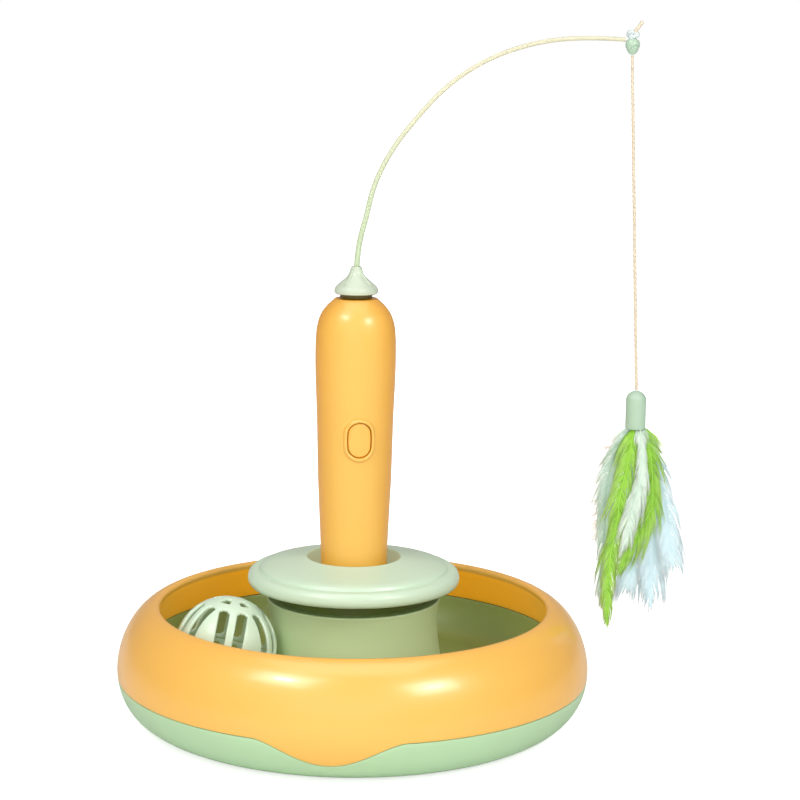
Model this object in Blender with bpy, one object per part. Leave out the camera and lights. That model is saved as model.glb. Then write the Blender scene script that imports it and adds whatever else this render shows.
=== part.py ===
"""Rotating feather cat toy, in metres, +Z up.

A round base holds a lattice ball in a ring-shaped channel. A battery wand stands in the socket
at the middle of the base. The wand's motor turns a cap with a thin bent arm, and a feather
teaser hangs on a string from the arm's tip. The table is the plane z = 0, the wand's axis is
the Z axis, the arm points along +X and the button faces -Y.
"""
import math

import bmesh
import bpy
from mathutils import Matrix, Vector

# Clearances between pieces
GAP = 0.0003
RUNNING_GAP = 0.0001
CUT_OVERRUN = 0.002
BOND = 0.0006

# Base ring, outer skin
BASE_RADIUS = 0.110
WIDEST_HEIGHT = 0.0243
FOOT_RADIUS = BASE_RADIUS - 0.0224
CREST_RADIUS = BASE_RADIUS - 0.0195
CREST_HEIGHT = 0.0534
LOWER_POWER = 2.18
UPPER_POWER = 1.8
CREST_TURN = 88.0
INNER_CREST_TURN = 70.0
INNER_WAIST_TURN = 14.0
INNER_FOOT_TURN = -62.0
STAND_HEIGHT = 0.0006

# Ring cover and the icing-like drip at its front
COVER_WALL = 0.0018
OPENING_RADIUS = CREST_RADIUS - 0.0004
LIP_ROUND = 0.0006
LEDGE_RADIUS = BASE_RADIUS - 0.0130
LEDGE_HEIGHT = 0.0340
SEAM_HEIGHT = 0.0206
DRIP_DEPTH = 0.0108
DRIP_ANGLE = -102.4
DRIP_SPREAD = 17.6
DRIP_POWER = 0.8

# Tray: channel, drum and neck; the ball fills the channel that the wand's drum leaves
TRAY_WALL = 0.0032
FLOOR_WALL = 0.0022
SPIGOT_HEIGHT = 0.0010
FLOOR_HEIGHT = 0.0160
WAND_RADIUS = 0.0185
DRUM_RADIUS = WAND_RADIUS + 0.0219
CHANNEL_SIDE_ROOM = 0.0051
BALL_RADIUS = (LEDGE_RADIUS - DRUM_RADIUS) / 2 - CHANNEL_SIDE_ROOM
FLOOR_OUTER_RADIUS = LEDGE_RADIUS - 0.0150
FLOOR_INNER_RADIUS = DRUM_RADIUS + 0.0096
DRUM_HEIGHT = FLOOR_HEIGHT + 2 * BALL_RADIUS - 0.0059
NECK_RADIUS = DRUM_RADIUS - 0.0044
NECK_HEIGHT = DRUM_HEIGHT + 0.0077
CHANNEL_WALL_SHARES = ((0.87, 0.67), (0.63, 0.33), (0.33, 0.10), (0.0, 0.0))
DRUM_FLARE_SHARES = ((0.48, 0.06), (0.16, 0.20), (0.0, 0.40), (-0.14, 0.70), (-0.06, 0.90))
RING_STEPS = 40

# Holder disc with the wand's socket
DISC_RADIUS = DRUM_RADIUS + 0.0089
DISC_RIM_HEIGHT = NECK_HEIGHT + 0.0025
DISC_UNDER_RADIUS = DISC_RADIUS - 0.0038
DISC_RIM_DROP = 0.0017
DISC_STEP_RADIUS = DISC_RADIUS - 0.0058
DISC_STEP_HEIGHT = DISC_RIM_HEIGHT + 0.0043
DISC_STEP_DEPTH = 0.0005
DISH_RADIUS = WAND_RADIUS + 0.0036
DISH_HEIGHT = DISC_STEP_HEIGHT + 0.0048
DISH_DEPTH = 0.0070
SOCKET_WALL = 0.0020
SOCKET_FLOOR = 0.0018
SOCKET_MOUTH = 0.0006
PLUG_LENGTH = 0.0060
DISC_STEPS = 26

# Underside: cover plate, pads and screws
PLATE_RADIUS = FOOT_RADIUS - 0.0014
PLATE_BOTTOM = 0.0008
PLATE_THICKNESS = 0.0026
PAD_RADIUS = 0.0070
PAD_THICKNESS = 0.0016
PAD_CIRCLE = PLATE_RADIUS - 0.0122
PAD_ANGLES = (45.0, 135.0, 225.0, 315.0)
BOSS_RADIUS = 0.0036
BOSS_CIRCLE = PAD_CIRCLE - 0.0100
BOSS_ANGLES = (0.0, 90.0, 180.0, 270.0)
SCREW_RADIUS = 0.0012
SCREW_HEAD_RADIUS = 0.0026
SCREW_HEAD_HEIGHT = 0.0012
SCREW_LENGTH = 0.0080
SCREW_DIMPLE = 0.0005
SCREW_CROWN_SHARE = 0.85

# Cells, their contacts and the rib above them, stacked up from the disc
CELL_RADIUS = 0.00525
CELL_LENGTH = 0.0435
CELL_NUB_RADIUS = 0.0019
CELL_NUB_HEIGHT = 0.0010
CONTACT_THICKNESS = 0.0004
CONTACT_SIDE = 0.0080
SPRING_RADIUS = 0.0028
SPRING_HEIGHT = 0.0013
CELL_BOTTOM = DISH_HEIGHT + 0.0057
ROOF_HEIGHT = CELL_BOTTOM + CELL_LENGTH + CELL_NUB_HEIGHT + CONTACT_THICKNESS + 2 * GAP
RIB_THICKNESS = 0.0015
RIB_REACH_SHARE = 0.9

# Button height and circuit board above the cells
BUTTON_HEIGHT = ROOF_HEIGHT + 0.0065
BOARD_WIDTH = 0.0150
BOARD_LENGTH = 0.0265
BOARD_THICKNESS = 0.0012
BOARD_FRONT = -0.0086
BOARD_MIDDLE = BUTTON_HEIGHT + 0.00125

# Motor and gear space above the board
MOTOR_RADIUS = 0.0080
MOTOR_LENGTH = 0.0180
MOTOR_CAP_LENGTH = 0.0022
WIRE_ROOM = 0.0001
GEAR_PLATE_THICKNESS = 0.0015
GEAR_SPACE = 0.0083
MOTOR_TOP = BOARD_MIDDLE + BOARD_LENGTH / 2 + WIRE_ROOM + MOTOR_CAP_LENGTH + GAP + MOTOR_LENGTH
LOWER_PLATE_BOTTOM = MOTOR_TOP + GAP
LOWER_PLATE_TOP = LOWER_PLATE_BOTTOM + GEAR_PLATE_THICKNESS
UPPER_PLATE_BOTTOM = LOWER_PLATE_TOP + GEAR_SPACE
UPPER_PLATE_TOP = UPPER_PLATE_BOTTOM + GEAR_PLATE_THICKNESS

# Wand shell, round all of these
WAND_BOTTOM = DISH_HEIGHT - 0.0342
WAND_TOP = UPPER_PLATE_TOP + 0.0163
WAND_WALL = 0.0018
WAND_STEPS = 26
WAND_HEIGHT_SHARES = (0.004, 0.012, 0.253, 0.385, 0.483, 0.629, 0.774, 0.858, 0.897, 0.929, 0.955,
                      0.977, 0.990)
WAND_RADIUS_SHARES = (0.74, 0.775, 0.843, 0.892, 0.924, 0.951, 0.995, 0.997, 0.969, 0.901, 0.809,
                      0.691, 0.605)
WAND_TOP_RADIUS = 0.0095
NOSE_RADIUS = 0.0040
NOSE_WALL = 0.0022

# Button and its raised oval ring
BUTTON_WIDTH = 0.0089
BUTTON_LENGTH = 0.0148
BUTTON_PROUD = 0.0005
BUTTON_TRAVEL = 0.0008
BUTTON_GROOVE = 0.0005
BEZEL_WIDTH = 0.0137
BEZEL_LENGTH = 0.0207
BEZEL_PROUD = 0.0008
FLANGE_EDGE = 0.0009
FLANGE_THICKNESS = 0.0009
FLANGE_DEPTH = 0.0036

# Board posts and switch
POST_RADIUS = 0.0011
POST_SPREAD = 0.0052
POST_INSET = 0.0016
SWITCH_SIDE = 0.0060
SWITCH_DEPTH = 0.0029
PLUNGER_RADIUS = 0.0015
PLUNGER_REACH = 0.0021

# Battery door
DOOR_WIDTH = 0.0190
DOOR_BOTTOM = CELL_BOTTOM - 0.0025
DOOR_TOP = BUTTON_HEIGHT - 0.0005
DOOR_LIP = 0.0050
DOOR_SCREW_DROP = 0.0045
DOOR_SEAT = 0.0012

# Wand screws: side offset and height of each
WAND_SCREW_LENGTH = 0.0090
WAND_SCREW_SIDE = 0.0112
WAND_SCREW_LOW = WAND_BOTTOM + 0.0184
WAND_SCREW_MIDDLE = BUTTON_HEIGHT + 0.0095
WAND_SCREW_HIGH = UPPER_PLATE_TOP + 0.0043
WAND_BOSS_RADIUS = 0.0028
REAR_BOSS_RADIUS = 0.0036

# Drive: gears of one module, two equal stages
MODULE = 0.0004
WHEEL_TEETH = 32
PINION_TEETH = 10
ADDENDUM_SHARE = 0.9
DEDENDUM_SHARE = 1.25
BACKLASH_SHARE = 0.4
PRESSURE_ANGLE = 20.0
GEAR_WIDTH = 0.0027
PINION_WIDTH = 0.0034
MOTOR_BOSS_RADIUS = 0.0030
MOTOR_BOSS_HEIGHT = 0.0012
MOTOR_SHAFT_RADIUS = 0.0008
SHAFT_SOCKET = 0.0030
PLATE_RIM_GAP = 0.0004
AXLE_RADIUS = 0.0008
STANDOFF_RADIUS = 0.0015
STANDOFF_ANGLES = (115.0, 245.0)
STANDOFF_CIRCLE = 0.0135
OUTPUT_RADIUS = 0.0025
BUSH_RADIUS = 0.0037
BUSH_FLANGE_RADIUS = 0.0055
BUSH_FLANGE_THICKNESS = 0.0014
WIRE_RADIUS = 0.0005
WIRE_SIDE = 0.0030

# Rotor cap
CAP_RADIUS = 0.0100
CAP_BOTTOM = WAND_TOP + 0.0019
CAP_NECK_RADIUS = 0.0074
CAP_NECK_DROP = 0.0015
CAP_HEIGHT = 0.0126
CAP_STEPS = 24
CAP_SHARES = ((0.79, 0.0), (0.97, 0.03), (1.0, 0.14), (0.95, 0.26), (0.74, 0.42), (0.49, 0.59),
              (0.32, 0.76), (0.24, 1.0))
FIN_COUNT = 4
FIN_THICKNESS = 0.0009
FIN_REACH_SHARE = 0.42
FIN_HEIGHT_SHARE = 0.86

# Arm rod, as shares of its reach along X and its rise along Z
ARM_BASE = CAP_BOTTOM + 0.0056
ARM_REACH = BASE_RADIUS + 0.0125
ARM_RISE = 0.1108
ARM_SHARES = ((0.0, 0.0), (0.002, 0.08), (0.012, 0.17), (0.034, 0.265), (0.066, 0.40),
              (0.124, 0.53), (0.20, 0.645), (0.315, 0.783), (0.432, 0.878), (0.55, 0.94),
              (0.669, 0.979), (0.787, 0.997), (0.907, 1.0), (1.0, 0.992))
ARM_ROOT_RADIUS = 0.00135
ARM_TIP_RADIUS = 0.00095
ARM_POINTS = 32

# Tip bead, knot, string and its tail
BEAD_RADIUS = 0.0033
BEAD_CENTRE_X = ARM_REACH + BEAD_RADIUS + 0.0001
BEAD_CENTRE_Z = ARM_BASE + ARM_RISE - 0.0036
BEAD_HEIGHT = 0.0070
BEAD_SHARES = ((0.30, -0.5), (0.72, -0.40), (0.98, -0.12), (1.0, 0.14), (0.82, 0.40), (0.50, 0.5))
STRING_RADIUS = 0.00085
KNOT_RADIUS = 0.0021
KNOT_LIFT = 0.0003
TAIL_RADIUS = 0.0010
TAIL_LENGTH = 0.0072
TAIL_LEAN = 35.0
STRING_LEAN = 2.5
STRING_STUB = 0.0060
STRING_LENGTH = 0.1552

# Ferrule and feathers; feather places are counted from the ferrule's foot
FERRULE_RADIUS = 0.0048
FERRULE_LENGTH = 0.0180
FERRULE_DOME = 0.0045
FERRULE_WALL = 0.0011
FERRULE_POCKET = 0.0080
FEATHER_LENGTH = 0.0985
FEATHER_WIDTH = 0.0140
QUILL_THICKNESS = 0.0006
BLADE_THICKNESS = 0.0011
QUILL_SPACING = 0.00092
BLADE_SPACING = 0.0016
QUILL_WIDTH = 0.0012
FEATHER_STEPS = 12

# Ball and bell
ORBIT_RADIUS = DRUM_RADIUS + BALL_RADIUS + 0.0010
BALL_ANGLE = -160.7
BALL_WALL = 0.0016
BALL_TILT = 12.0
BALL_FIRST_RIB = 25.0
BALL_SECTORS = 6
BALL_COLUMN_SHARES = (-0.082, 0.082, 0.285, 0.5, 0.715)
BALL_SLOT_COLUMNS = (1, 4)
BALL_POLE_COLUMNS = (2, 3)
BALL_LATITUDES = (0.0, 5.0, 19.0, 34.0, 48.5, 64.0, 75.0, 83.0)
BALL_SLOT_ROWS = (1, 2, 3)
BALL_POLE_ROW = 5
BELL_RADIUS = 0.0065
BELL_WALL = 0.0005
BELL_MOUTH = 0.0014
BELL_PLAY = 0.0006

# Colours, roughness and metallic value
YELLOW = ("yellow_plastic", (0.95, 0.54, 0.13), 0.28, 0.0)
MINT = ("mint_plastic", (0.45, 0.66, 0.42), 0.32, 0.0)
IVORY = ("ivory_plastic", (0.80, 0.86, 0.78), 0.35, 0.0)
CREAM = ("cream_string", (0.86, 0.72, 0.52), 0.8, 0.0)
ROD = ("arm_plastic", (0.70, 0.74, 0.50), 0.4, 0.0)
LIME = ("lime_feather", (0.28, 0.62, 0.06), 0.85, 0.0)
WHITE = ("white_feather", (0.82, 0.86, 0.80), 0.85, 0.0)
PALE_BLUE = ("blue_feather", (0.62, 0.76, 0.80), 0.85, 0.0)
RUBBER = ("foot_rubber", (0.12, 0.12, 0.12), 0.9, 0.0)
STEEL = ("steel", (0.55, 0.55, 0.56), 0.3, 1.0)
BRASS = ("brass", (0.70, 0.50, 0.20), 0.3, 1.0)
BOARD_GREEN = ("board", (0.03, 0.20, 0.07), 0.5, 0.0)
BLACK = ("black_plastic", (0.03, 0.03, 0.03), 0.5, 0.0)
CELL_SLEEVE = ("cell_sleeve", (0.10, 0.12, 0.15), 0.4, 0.0)
GEAR_WHITE = ("gear_plastic", (0.75, 0.75, 0.70), 0.5, 0.0)
WIRE_RED = ("wire_red", (0.55, 0.03, 0.02), 0.5, 0.0)
WIRE_BLACK = ("wire_black", (0.02, 0.02, 0.02), 0.5, 0.0)

SMOOTH_ANGLE = 35.0


# Scene and material helpers

def clear_scene():
    for item in list(bpy.data.objects):
        bpy.data.objects.remove(item)


def material(finish):
    name, colour, roughness, metallic = finish
    found = bpy.data.materials.get(name)
    if found:
        return found
    made = bpy.data.materials.new(name)
    made.use_nodes = True
    shader = made.node_tree.nodes["Principled BSDF"]
    shader.inputs["Base Color"].default_value = (*colour, 1.0)
    shader.inputs["Roughness"].default_value = roughness
    shader.inputs["Metallic"].default_value = metallic
    return made


def axis_empty(name, place):
    """Empty on a joint's axis, which the pieces of the moving body are parented to."""
    empty = bpy.data.objects.new(name, None)
    empty.location = place
    bpy.context.scene.collection.objects.link(empty)
    return empty


def ride(item, empty):
    """Parent a piece to its joint's empty and leave it where it is."""
    item.parent = empty
    item.matrix_parent_inverse = Matrix.Translation(empty.location).inverted()
    return item


def object_from_bmesh(name, shape, finish):
    """Close the shape's normals outwards and link it as one smooth-shaded object."""
    bmesh.ops.recalc_face_normals(shape, faces=shape.faces)
    mesh = bpy.data.meshes.new(name)
    shape.to_mesh(mesh)
    shape.free()
    mesh.materials.append(material(finish))
    mesh.shade_smooth()
    mesh.set_sharp_from_angle(angle=math.radians(SMOOTH_ANGLE))
    item = bpy.data.objects.new(name, mesh)
    bpy.context.scene.collection.objects.link(item)
    return item


def split_large_faces(mesh):
    """Triangulate faces of more than four sides, which may not be quite flat."""
    shape = bmesh.new()
    shape.from_mesh(mesh)
    large = [face for face in shape.faces if len(face.verts) > 4]
    bmesh.ops.triangulate(shape, faces=large, ngon_method="EAR_CLIP")
    shape.to_mesh(mesh)
    shape.free()


def combine(target, tools, operation):
    """Apply one Boolean for each tool and remove the tools."""
    bpy.context.view_layer.objects.active = target
    for tool in tools:
        modifier = target.modifiers.new("shape", "BOOLEAN")
        modifier.operation = operation
        modifier.solver = "EXACT"
        modifier.object = tool
        bpy.ops.object.modifier_apply(modifier=modifier.name)
        split_large_faces(target.data)
        bpy.data.objects.remove(tool)
    target.data.shade_smooth()
    target.data.set_sharp_from_angle(angle=math.radians(SMOOTH_ANGLE))
    return target


def cut(target, *tools):
    return combine(target, tools, "DIFFERENCE")


def join(target, *tools):
    return combine(target, tools, "UNION")


def keep_common(target, *tools):
    return combine(target, tools, "INTERSECT")


# Shape helpers

def skin(name, rings, finish, around=False):
    """Solid through rings of points; a ring of one point is a pole, and ends get caps."""
    shape = bmesh.new()
    made = [[shape.verts.new(point) for point in ring] for ring in rings]
    pairs = list(zip(made, made[1:]))
    if around:
        pairs.append((made[-1], made[0]))
    for low, high in pairs:
        count = max(len(low), len(high))
        for step in range(count):
            after = (step + 1) % count
            if len(low) == 1:
                shape.faces.new((low[0], high[after], high[step]))
            elif len(high) == 1:
                shape.faces.new((low[step], low[after], high[0]))
            else:
                shape.faces.new((low[step], low[after], high[after], high[step]))
    if not around:
        for end in (made[0], made[-1]):
            if len(end) > 1:
                shape.faces.new(end)
    return object_from_bmesh(name, shape, finish)


def circle(radius, height, steps, centre=(0.0, 0.0), phase=0.0):
    turns = [phase + 2 * math.pi * step / steps for step in range(steps)]
    return [Vector((centre[0] + radius * math.cos(turn), centre[1] + radius * math.sin(turn), height))
            for turn in turns]


def turned(name, profile, finish, steps=24, centre=(0.0, 0.0)):
    """Solid of revolution about a line along Z; the profile holds (radius, height) pairs."""
    rings = []
    for radius, height in profile:
        if radius == 0:
            rings.append([Vector((centre[0], centre[1], height))])
        else:
            rings.append(circle(radius, height, steps, centre))
    on_axis = profile[0][0] == 0 and profile[-1][0] == 0
    return skin(name, rings, finish, around=not on_axis)


def drum(name, radius, low, high, finish, steps=24, centre=(0.0, 0.0)):
    return turned(name, ((0, low), (radius, low), (radius, high), (0, high)), finish, steps, centre)


def block(name, low, high, finish):
    """Box between two corners."""
    shape = bmesh.new()
    bmesh.ops.create_cube(shape, size=1.0)
    low = Vector(low)
    high = Vector(high)
    size = high - low
    bmesh.ops.scale(shape, vec=size, verts=shape.verts)
    bmesh.ops.translate(shape, vec=(low + high) / 2, verts=shape.verts)
    return object_from_bmesh(name, shape, finish)


def lying_drum(name, radius, near, far, side, height, finish, steps=10):
    """Cylinder along Y from near to far."""
    ends = []
    for depth in (near, far):
        ring = circle(radius, 0, steps)
        ends.append([Vector((side + point.x, depth, height + point.y)) for point in ring])
    return skin(name, ends, finish)


def oval_prism(name, width, length, near, far, finish, steps=8):
    """Stadium-shaped prism along Y, centred on the button."""
    radius = width / 2
    straight = length / 2 - radius
    outline = []
    for step in range(steps + 1):
        turn = math.pi * step / steps
        outline.append((radius * math.cos(turn), straight + radius * math.sin(turn)))
    outline += [(-side, -height) for side, height in outline]
    ends = [[Vector((side, depth, BUTTON_HEIGHT + height)) for side, height in outline]
            for depth in (near, far)]
    return skin(name, ends, finish)


def smooth_route(points, count):
    """Points at even parameters on a Catmull-Rom curve through the route's own points."""
    points = [Vector(point) for point in points]
    padded = [2 * points[0] - points[1]] + points + [2 * points[-1] - points[-2]]
    route = []
    for index in range(count):
        place = index / (count - 1) * (len(points) - 1)
        span = min(int(place), len(points) - 2)
        t = place - span
        a, b, c, d = padded[span:span + 4]
        route.append(0.5 * (2 * b + (c - a) * t + (2 * a - 5 * b + 4 * c - d) * t ** 2
                            + (3 * b - a - 3 * c + d) * t ** 3))
    return route


def tube(name, points, radii, finish, level=2):
    """Curve object with filled caps; radii holds one radius for each point."""
    curve = bpy.data.curves.new(name, "CURVE")
    curve.dimensions = "3D"
    thickest = max(radii)
    curve.bevel_depth = thickest
    curve.bevel_resolution = level
    curve.use_fill_caps = True
    spline = curve.splines.new("POLY")
    spline.points.add(len(points) - 1)
    for spot, point, radius in zip(spline.points, points, radii):
        spot.co = (*point, 1.0)
        spot.radius = radius / thickest
    curve.materials.append(material(finish))
    item = bpy.data.objects.new(name, curve)
    bpy.context.scene.collection.objects.link(item)
    return item


# Base outline: a squashed ring whose lower and upper quarters are superellipses

def ring_outline(turn):
    """Point (radius, height) of the skin at -90 (foot), 0 (widest) to 90 degrees (crest)."""
    if turn < 0:
        angle = math.radians(90 + turn)
        radius = FOOT_RADIUS + (BASE_RADIUS - FOOT_RADIUS) * math.sin(angle) ** (2 / LOWER_POWER)
        height = WIDEST_HEIGHT * (1 - math.cos(angle) ** (2 / LOWER_POWER))
    else:
        angle = math.radians(turn)
        radius = CREST_RADIUS + (BASE_RADIUS - CREST_RADIUS) * math.cos(angle) ** (2 / UPPER_POWER)
        rise = CREST_HEIGHT - WIDEST_HEIGHT
        height = WIDEST_HEIGHT + rise * math.sin(angle) ** (2 / UPPER_POWER)
    return Vector((radius, height))


def turn_at_height(height):
    """Turn of the skin point at a height."""
    if height < WIDEST_HEIGHT:
        share = (1 - height / WIDEST_HEIGHT) ** (LOWER_POWER / 2)
        return math.degrees(math.acos(share)) - 90
    share = ((height - WIDEST_HEIGHT) / (CREST_HEIGHT - WIDEST_HEIGHT)) ** (UPPER_POWER / 2)
    return math.degrees(math.asin(share))


def inset_outline(turn, depth):
    """Point at a depth inside the skin, square to it."""
    step = 1.0
    along = ring_outline(min(turn + step, 89)) - ring_outline(max(turn - step, -89))
    inward = Vector((-along.y, along.x)).normalized()
    return ring_outline(turn) + inward * depth


def spread(start, end, count):
    return [start + (end - start) * index / (count - 1) for index in range(count)]


def drip_height(angle):
    """Lower edge of the cover at an angle in degrees round the base."""
    share = abs((angle - DRIP_ANGLE + 180) % 360 - 180) / DRIP_SPREAD
    if share >= 1:
        return SEAM_HEIGHT
    return SEAM_HEIGHT - DRIP_DEPTH * ((1 + math.cos(math.pi * share)) / 2) ** DRIP_POWER


def swept_ring(name, section, finish):
    """Ring whose cross-section, (radius, height) pairs, is a function of the angle."""
    rings = []
    for step in range(RING_STEPS):
        angle = 360 * step / RING_STEPS
        turn = math.radians(angle)
        rings.append([Vector((radius * math.cos(turn), radius * math.sin(turn), height))
                      for radius, height in section(angle)])
    return skin(name, rings, finish, around=True)


def lap_turns(angle):
    """Turns of the stretch where the cover laps over the tray's rebate, from the lower edge up."""
    deck = turn_at_height(SEAM_HEIGHT + SPIGOT_HEIGHT)
    return spread(turn_at_height(drip_height(angle)), deck, 3)


def cover_section(angle):
    low = turn_at_height(drip_height(angle))
    outer = [ring_outline(turn) for turn in spread(low, CREST_TURN, 8)]
    lip = [(OPENING_RADIUS + LIP_ROUND / 2, CREST_HEIGHT - LIP_ROUND / 4),
           (OPENING_RADIUS, CREST_HEIGHT - LIP_ROUND)]
    ledge = [(LEDGE_RADIUS, LEDGE_HEIGHT + GAP), (LEDGE_RADIUS + COVER_WALL, LEDGE_HEIGHT + GAP)]
    hollow = [(OPENING_RADIUS + 2 * COVER_WALL, CREST_HEIGHT - 1.5 * COVER_WALL)]
    turns = spread(INNER_CREST_TURN, INNER_WAIST_TURN, 3) + lap_turns(angle)[::-1]
    inner = [inset_outline(turn, COVER_WALL) for turn in turns]
    return outer + lip + ledge + hollow + inner


def channel_points():
    """Channel wall from below the ledge down to the floor."""
    width = LEDGE_RADIUS - FLOOR_OUTER_RADIUS
    rise = LEDGE_HEIGHT - FLOOR_HEIGHT
    return [(FLOOR_OUTER_RADIUS + width * out, FLOOR_HEIGHT + rise * up)
            for out, up in CHANNEL_WALL_SHARES]


def drum_points():
    """Drum wall from the floor's inner edge up to the drum's top edge."""
    flare = FLOOR_INNER_RADIUS - DRUM_RADIUS
    rise = DRUM_HEIGHT - FLOOR_HEIGHT
    wall = [(DRUM_RADIUS + flare * out, FLOOR_HEIGHT + rise * up) for out, up in DRUM_FLARE_SHARES]
    return [(FLOOR_INNER_RADIUS, FLOOR_HEIGHT)] + wall


def tray_section(angle):
    edge = turn_at_height(drip_height(angle) - GAP)
    deck = SEAM_HEIGHT + SPIGOT_HEIGHT
    outer = [ring_outline(turn) for turn in spread(turn_at_height(STAND_HEIGHT), edge, 5)]
    lap = [edge] + lap_turns(angle)[1:]
    rebate = [inset_outline(turn, COVER_WALL + GAP) for turn in lap]
    slope = channel_points()
    hidden = slope[1][0] + FLOOR_WALL
    rim = [(hidden, deck), (LEDGE_RADIUS + COVER_WALL, LEDGE_HEIGHT), (LEDGE_RADIUS, LEDGE_HEIGHT)]
    tower = drum_points()
    top = [(DRUM_RADIUS - LIP_ROUND, DRUM_HEIGHT), (NECK_RADIUS, DRUM_HEIGHT),
           (NECK_RADIUS, NECK_HEIGHT), (NECK_RADIUS - FLOOR_WALL, NECK_HEIGHT),
           (NECK_RADIUS - FLOOR_WALL, DRUM_HEIGHT - FLOOR_WALL)]
    inside = [(radius - FLOOR_WALL, height) for radius, height in (tower[-2], tower[3])]
    under = [(FLOOR_INNER_RADIUS - FLOOR_WALL, FLOOR_HEIGHT - FLOOR_WALL),
             (FLOOR_OUTER_RADIUS + FLOOR_WALL, FLOOR_HEIGHT - FLOOR_WALL)]
    deck_under = deck - TRAY_WALL
    inner_turns = spread(turn_at_height(deck_under), INNER_FOOT_TURN, 3)
    shell = [(hidden, deck_under)] + [inset_outline(turn, TRAY_WALL) for turn in inner_turns]
    foot = [(PLATE_RADIUS + GAP, STAND_HEIGHT + TRAY_WALL), (PLATE_RADIUS + GAP, STAND_HEIGHT)]
    return outer + rebate + rim + slope + tower + top + inside + under + shell + foot


# Wand outline

def wand_profile(offset=0.0):
    """Wand skin as (radius, height) pairs from the bottom corner to the top corner."""
    rise = WAND_TOP - WAND_BOTTOM
    return [(WAND_RADIUS * wide + offset, WAND_BOTTOM + rise * high)
            for high, wide in zip(WAND_HEIGHT_SHARES, WAND_RADIUS_SHARES)]


def wand_radius(height):
    """Radius of the wand's skin at a height."""
    points = wand_profile()
    for (low_radius, low), (high_radius, high) in zip(points, points[1:]):
        if low <= height <= high:
            return low_radius + (high_radius - low_radius) * (height - low) / (high - low)
    return points[0][0] if height < points[0][1] else points[-1][0]


def wand_solid(name, offset, finish):
    """Whole wand as one turned solid, grown or shrunk by the offset."""
    profile = wand_profile(offset)
    low = WAND_BOTTOM - offset
    high = WAND_TOP + offset
    foot = profile[0][0] - WAND_WALL / 2
    points = [(0, low), (foot, low)] + profile[1:] + [(WAND_TOP_RADIUS + offset, high), (0, high)]
    return turned(name, points, finish, WAND_STEPS)


# Screws

def pan_screw(name, place, outward, length, finish=STEEL, empty=None):
    """Pan-head screw whose head's outer face is centred on the place; outward is a unit vector."""
    steps = 8
    head = SCREW_HEAD_RADIUS
    profile = [(0, -SCREW_DIMPLE), (head / 2, 0), (head * SCREW_CROWN_SHARE, 0),
               (head, -SCREW_HEAD_HEIGHT), (SCREW_RADIUS, -SCREW_HEAD_HEIGHT),
               (SCREW_RADIUS, -length), (0, -length)]
    item = turned(name, profile, finish, steps)
    frame = Vector(outward).to_track_quat("Z", "Y").to_matrix().to_4x4()
    item.data.transform(Matrix.Translation(place) @ frame)
    if empty:
        ride(item, empty)
    return item


# Base pieces

def make_ring_cover():
    return swept_ring("ring_cover", cover_section, YELLOW)


def ring_places(radius, angles):
    turns = [math.radians(angle) for angle in angles]
    return [(radius * math.cos(turn), radius * math.sin(turn)) for turn in turns]


def make_tray():
    tray = swept_ring("base_tray", tray_section, MINT)
    boss_low = PLATE_BOTTOM + PLATE_THICKNESS + GAP
    bosses = []
    holes = []
    for centre in ring_places(BOSS_CIRCLE, BOSS_ANGLES):
        boss_top = FLOOR_HEIGHT - FLOOR_WALL + BOND
        bosses.append(drum("boss", BOSS_RADIUS, boss_low, boss_top, MINT, 12, centre))
        holes.append(drum("hole", SCREW_RADIUS + GAP, boss_low - CUT_OVERRUN,
                          PLATE_BOTTOM + SCREW_LENGTH + GAP, MINT, 8, centre))
    join(tray, *bosses)
    return cut(tray, *holes)


def make_bottom_cover():
    """Plate with a blind recess for each pad and a counterbored hole for each screw."""
    top = PLATE_BOTTOM + PLATE_THICKNESS
    plate = drum("bottom_cover", PLATE_RADIUS, PLATE_BOTTOM, top, MINT, RING_STEPS)
    tools = []
    for centre in ring_places(PAD_CIRCLE, PAD_ANGLES):
        tools.append(drum("recess", PAD_RADIUS + GAP, PLATE_BOTTOM - CUT_OVERRUN,
                          PAD_THICKNESS + GAP, MINT, 16, centre))
    for centre in ring_places(BOSS_CIRCLE, BOSS_ANGLES):
        head_top = PLATE_BOTTOM + SCREW_HEAD_HEIGHT + GAP
        tools.append(drum("counterbore", SCREW_HEAD_RADIUS + GAP, PLATE_BOTTOM - CUT_OVERRUN,
                          head_top, MINT, 12, centre))
        tools.append(drum("hole", SCREW_RADIUS + GAP, head_top - CUT_OVERRUN / 4,
                          top + CUT_OVERRUN, MINT, 8, centre))
    return cut(plate, *tools)


def make_feet_and_screws():
    for index, centre in enumerate(ring_places(PAD_CIRCLE, PAD_ANGLES), 1):
        drum(f"foot_pad_{index}", PAD_RADIUS, 0, PAD_THICKNESS, RUBBER, 16, centre)
    for index, centre in enumerate(ring_places(BOSS_CIRCLE, BOSS_ANGLES), 1):
        pan_screw(f"base_screw_{index}", (*centre, PLATE_BOTTOM), (0, 0, -1), SCREW_LENGTH)


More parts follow.
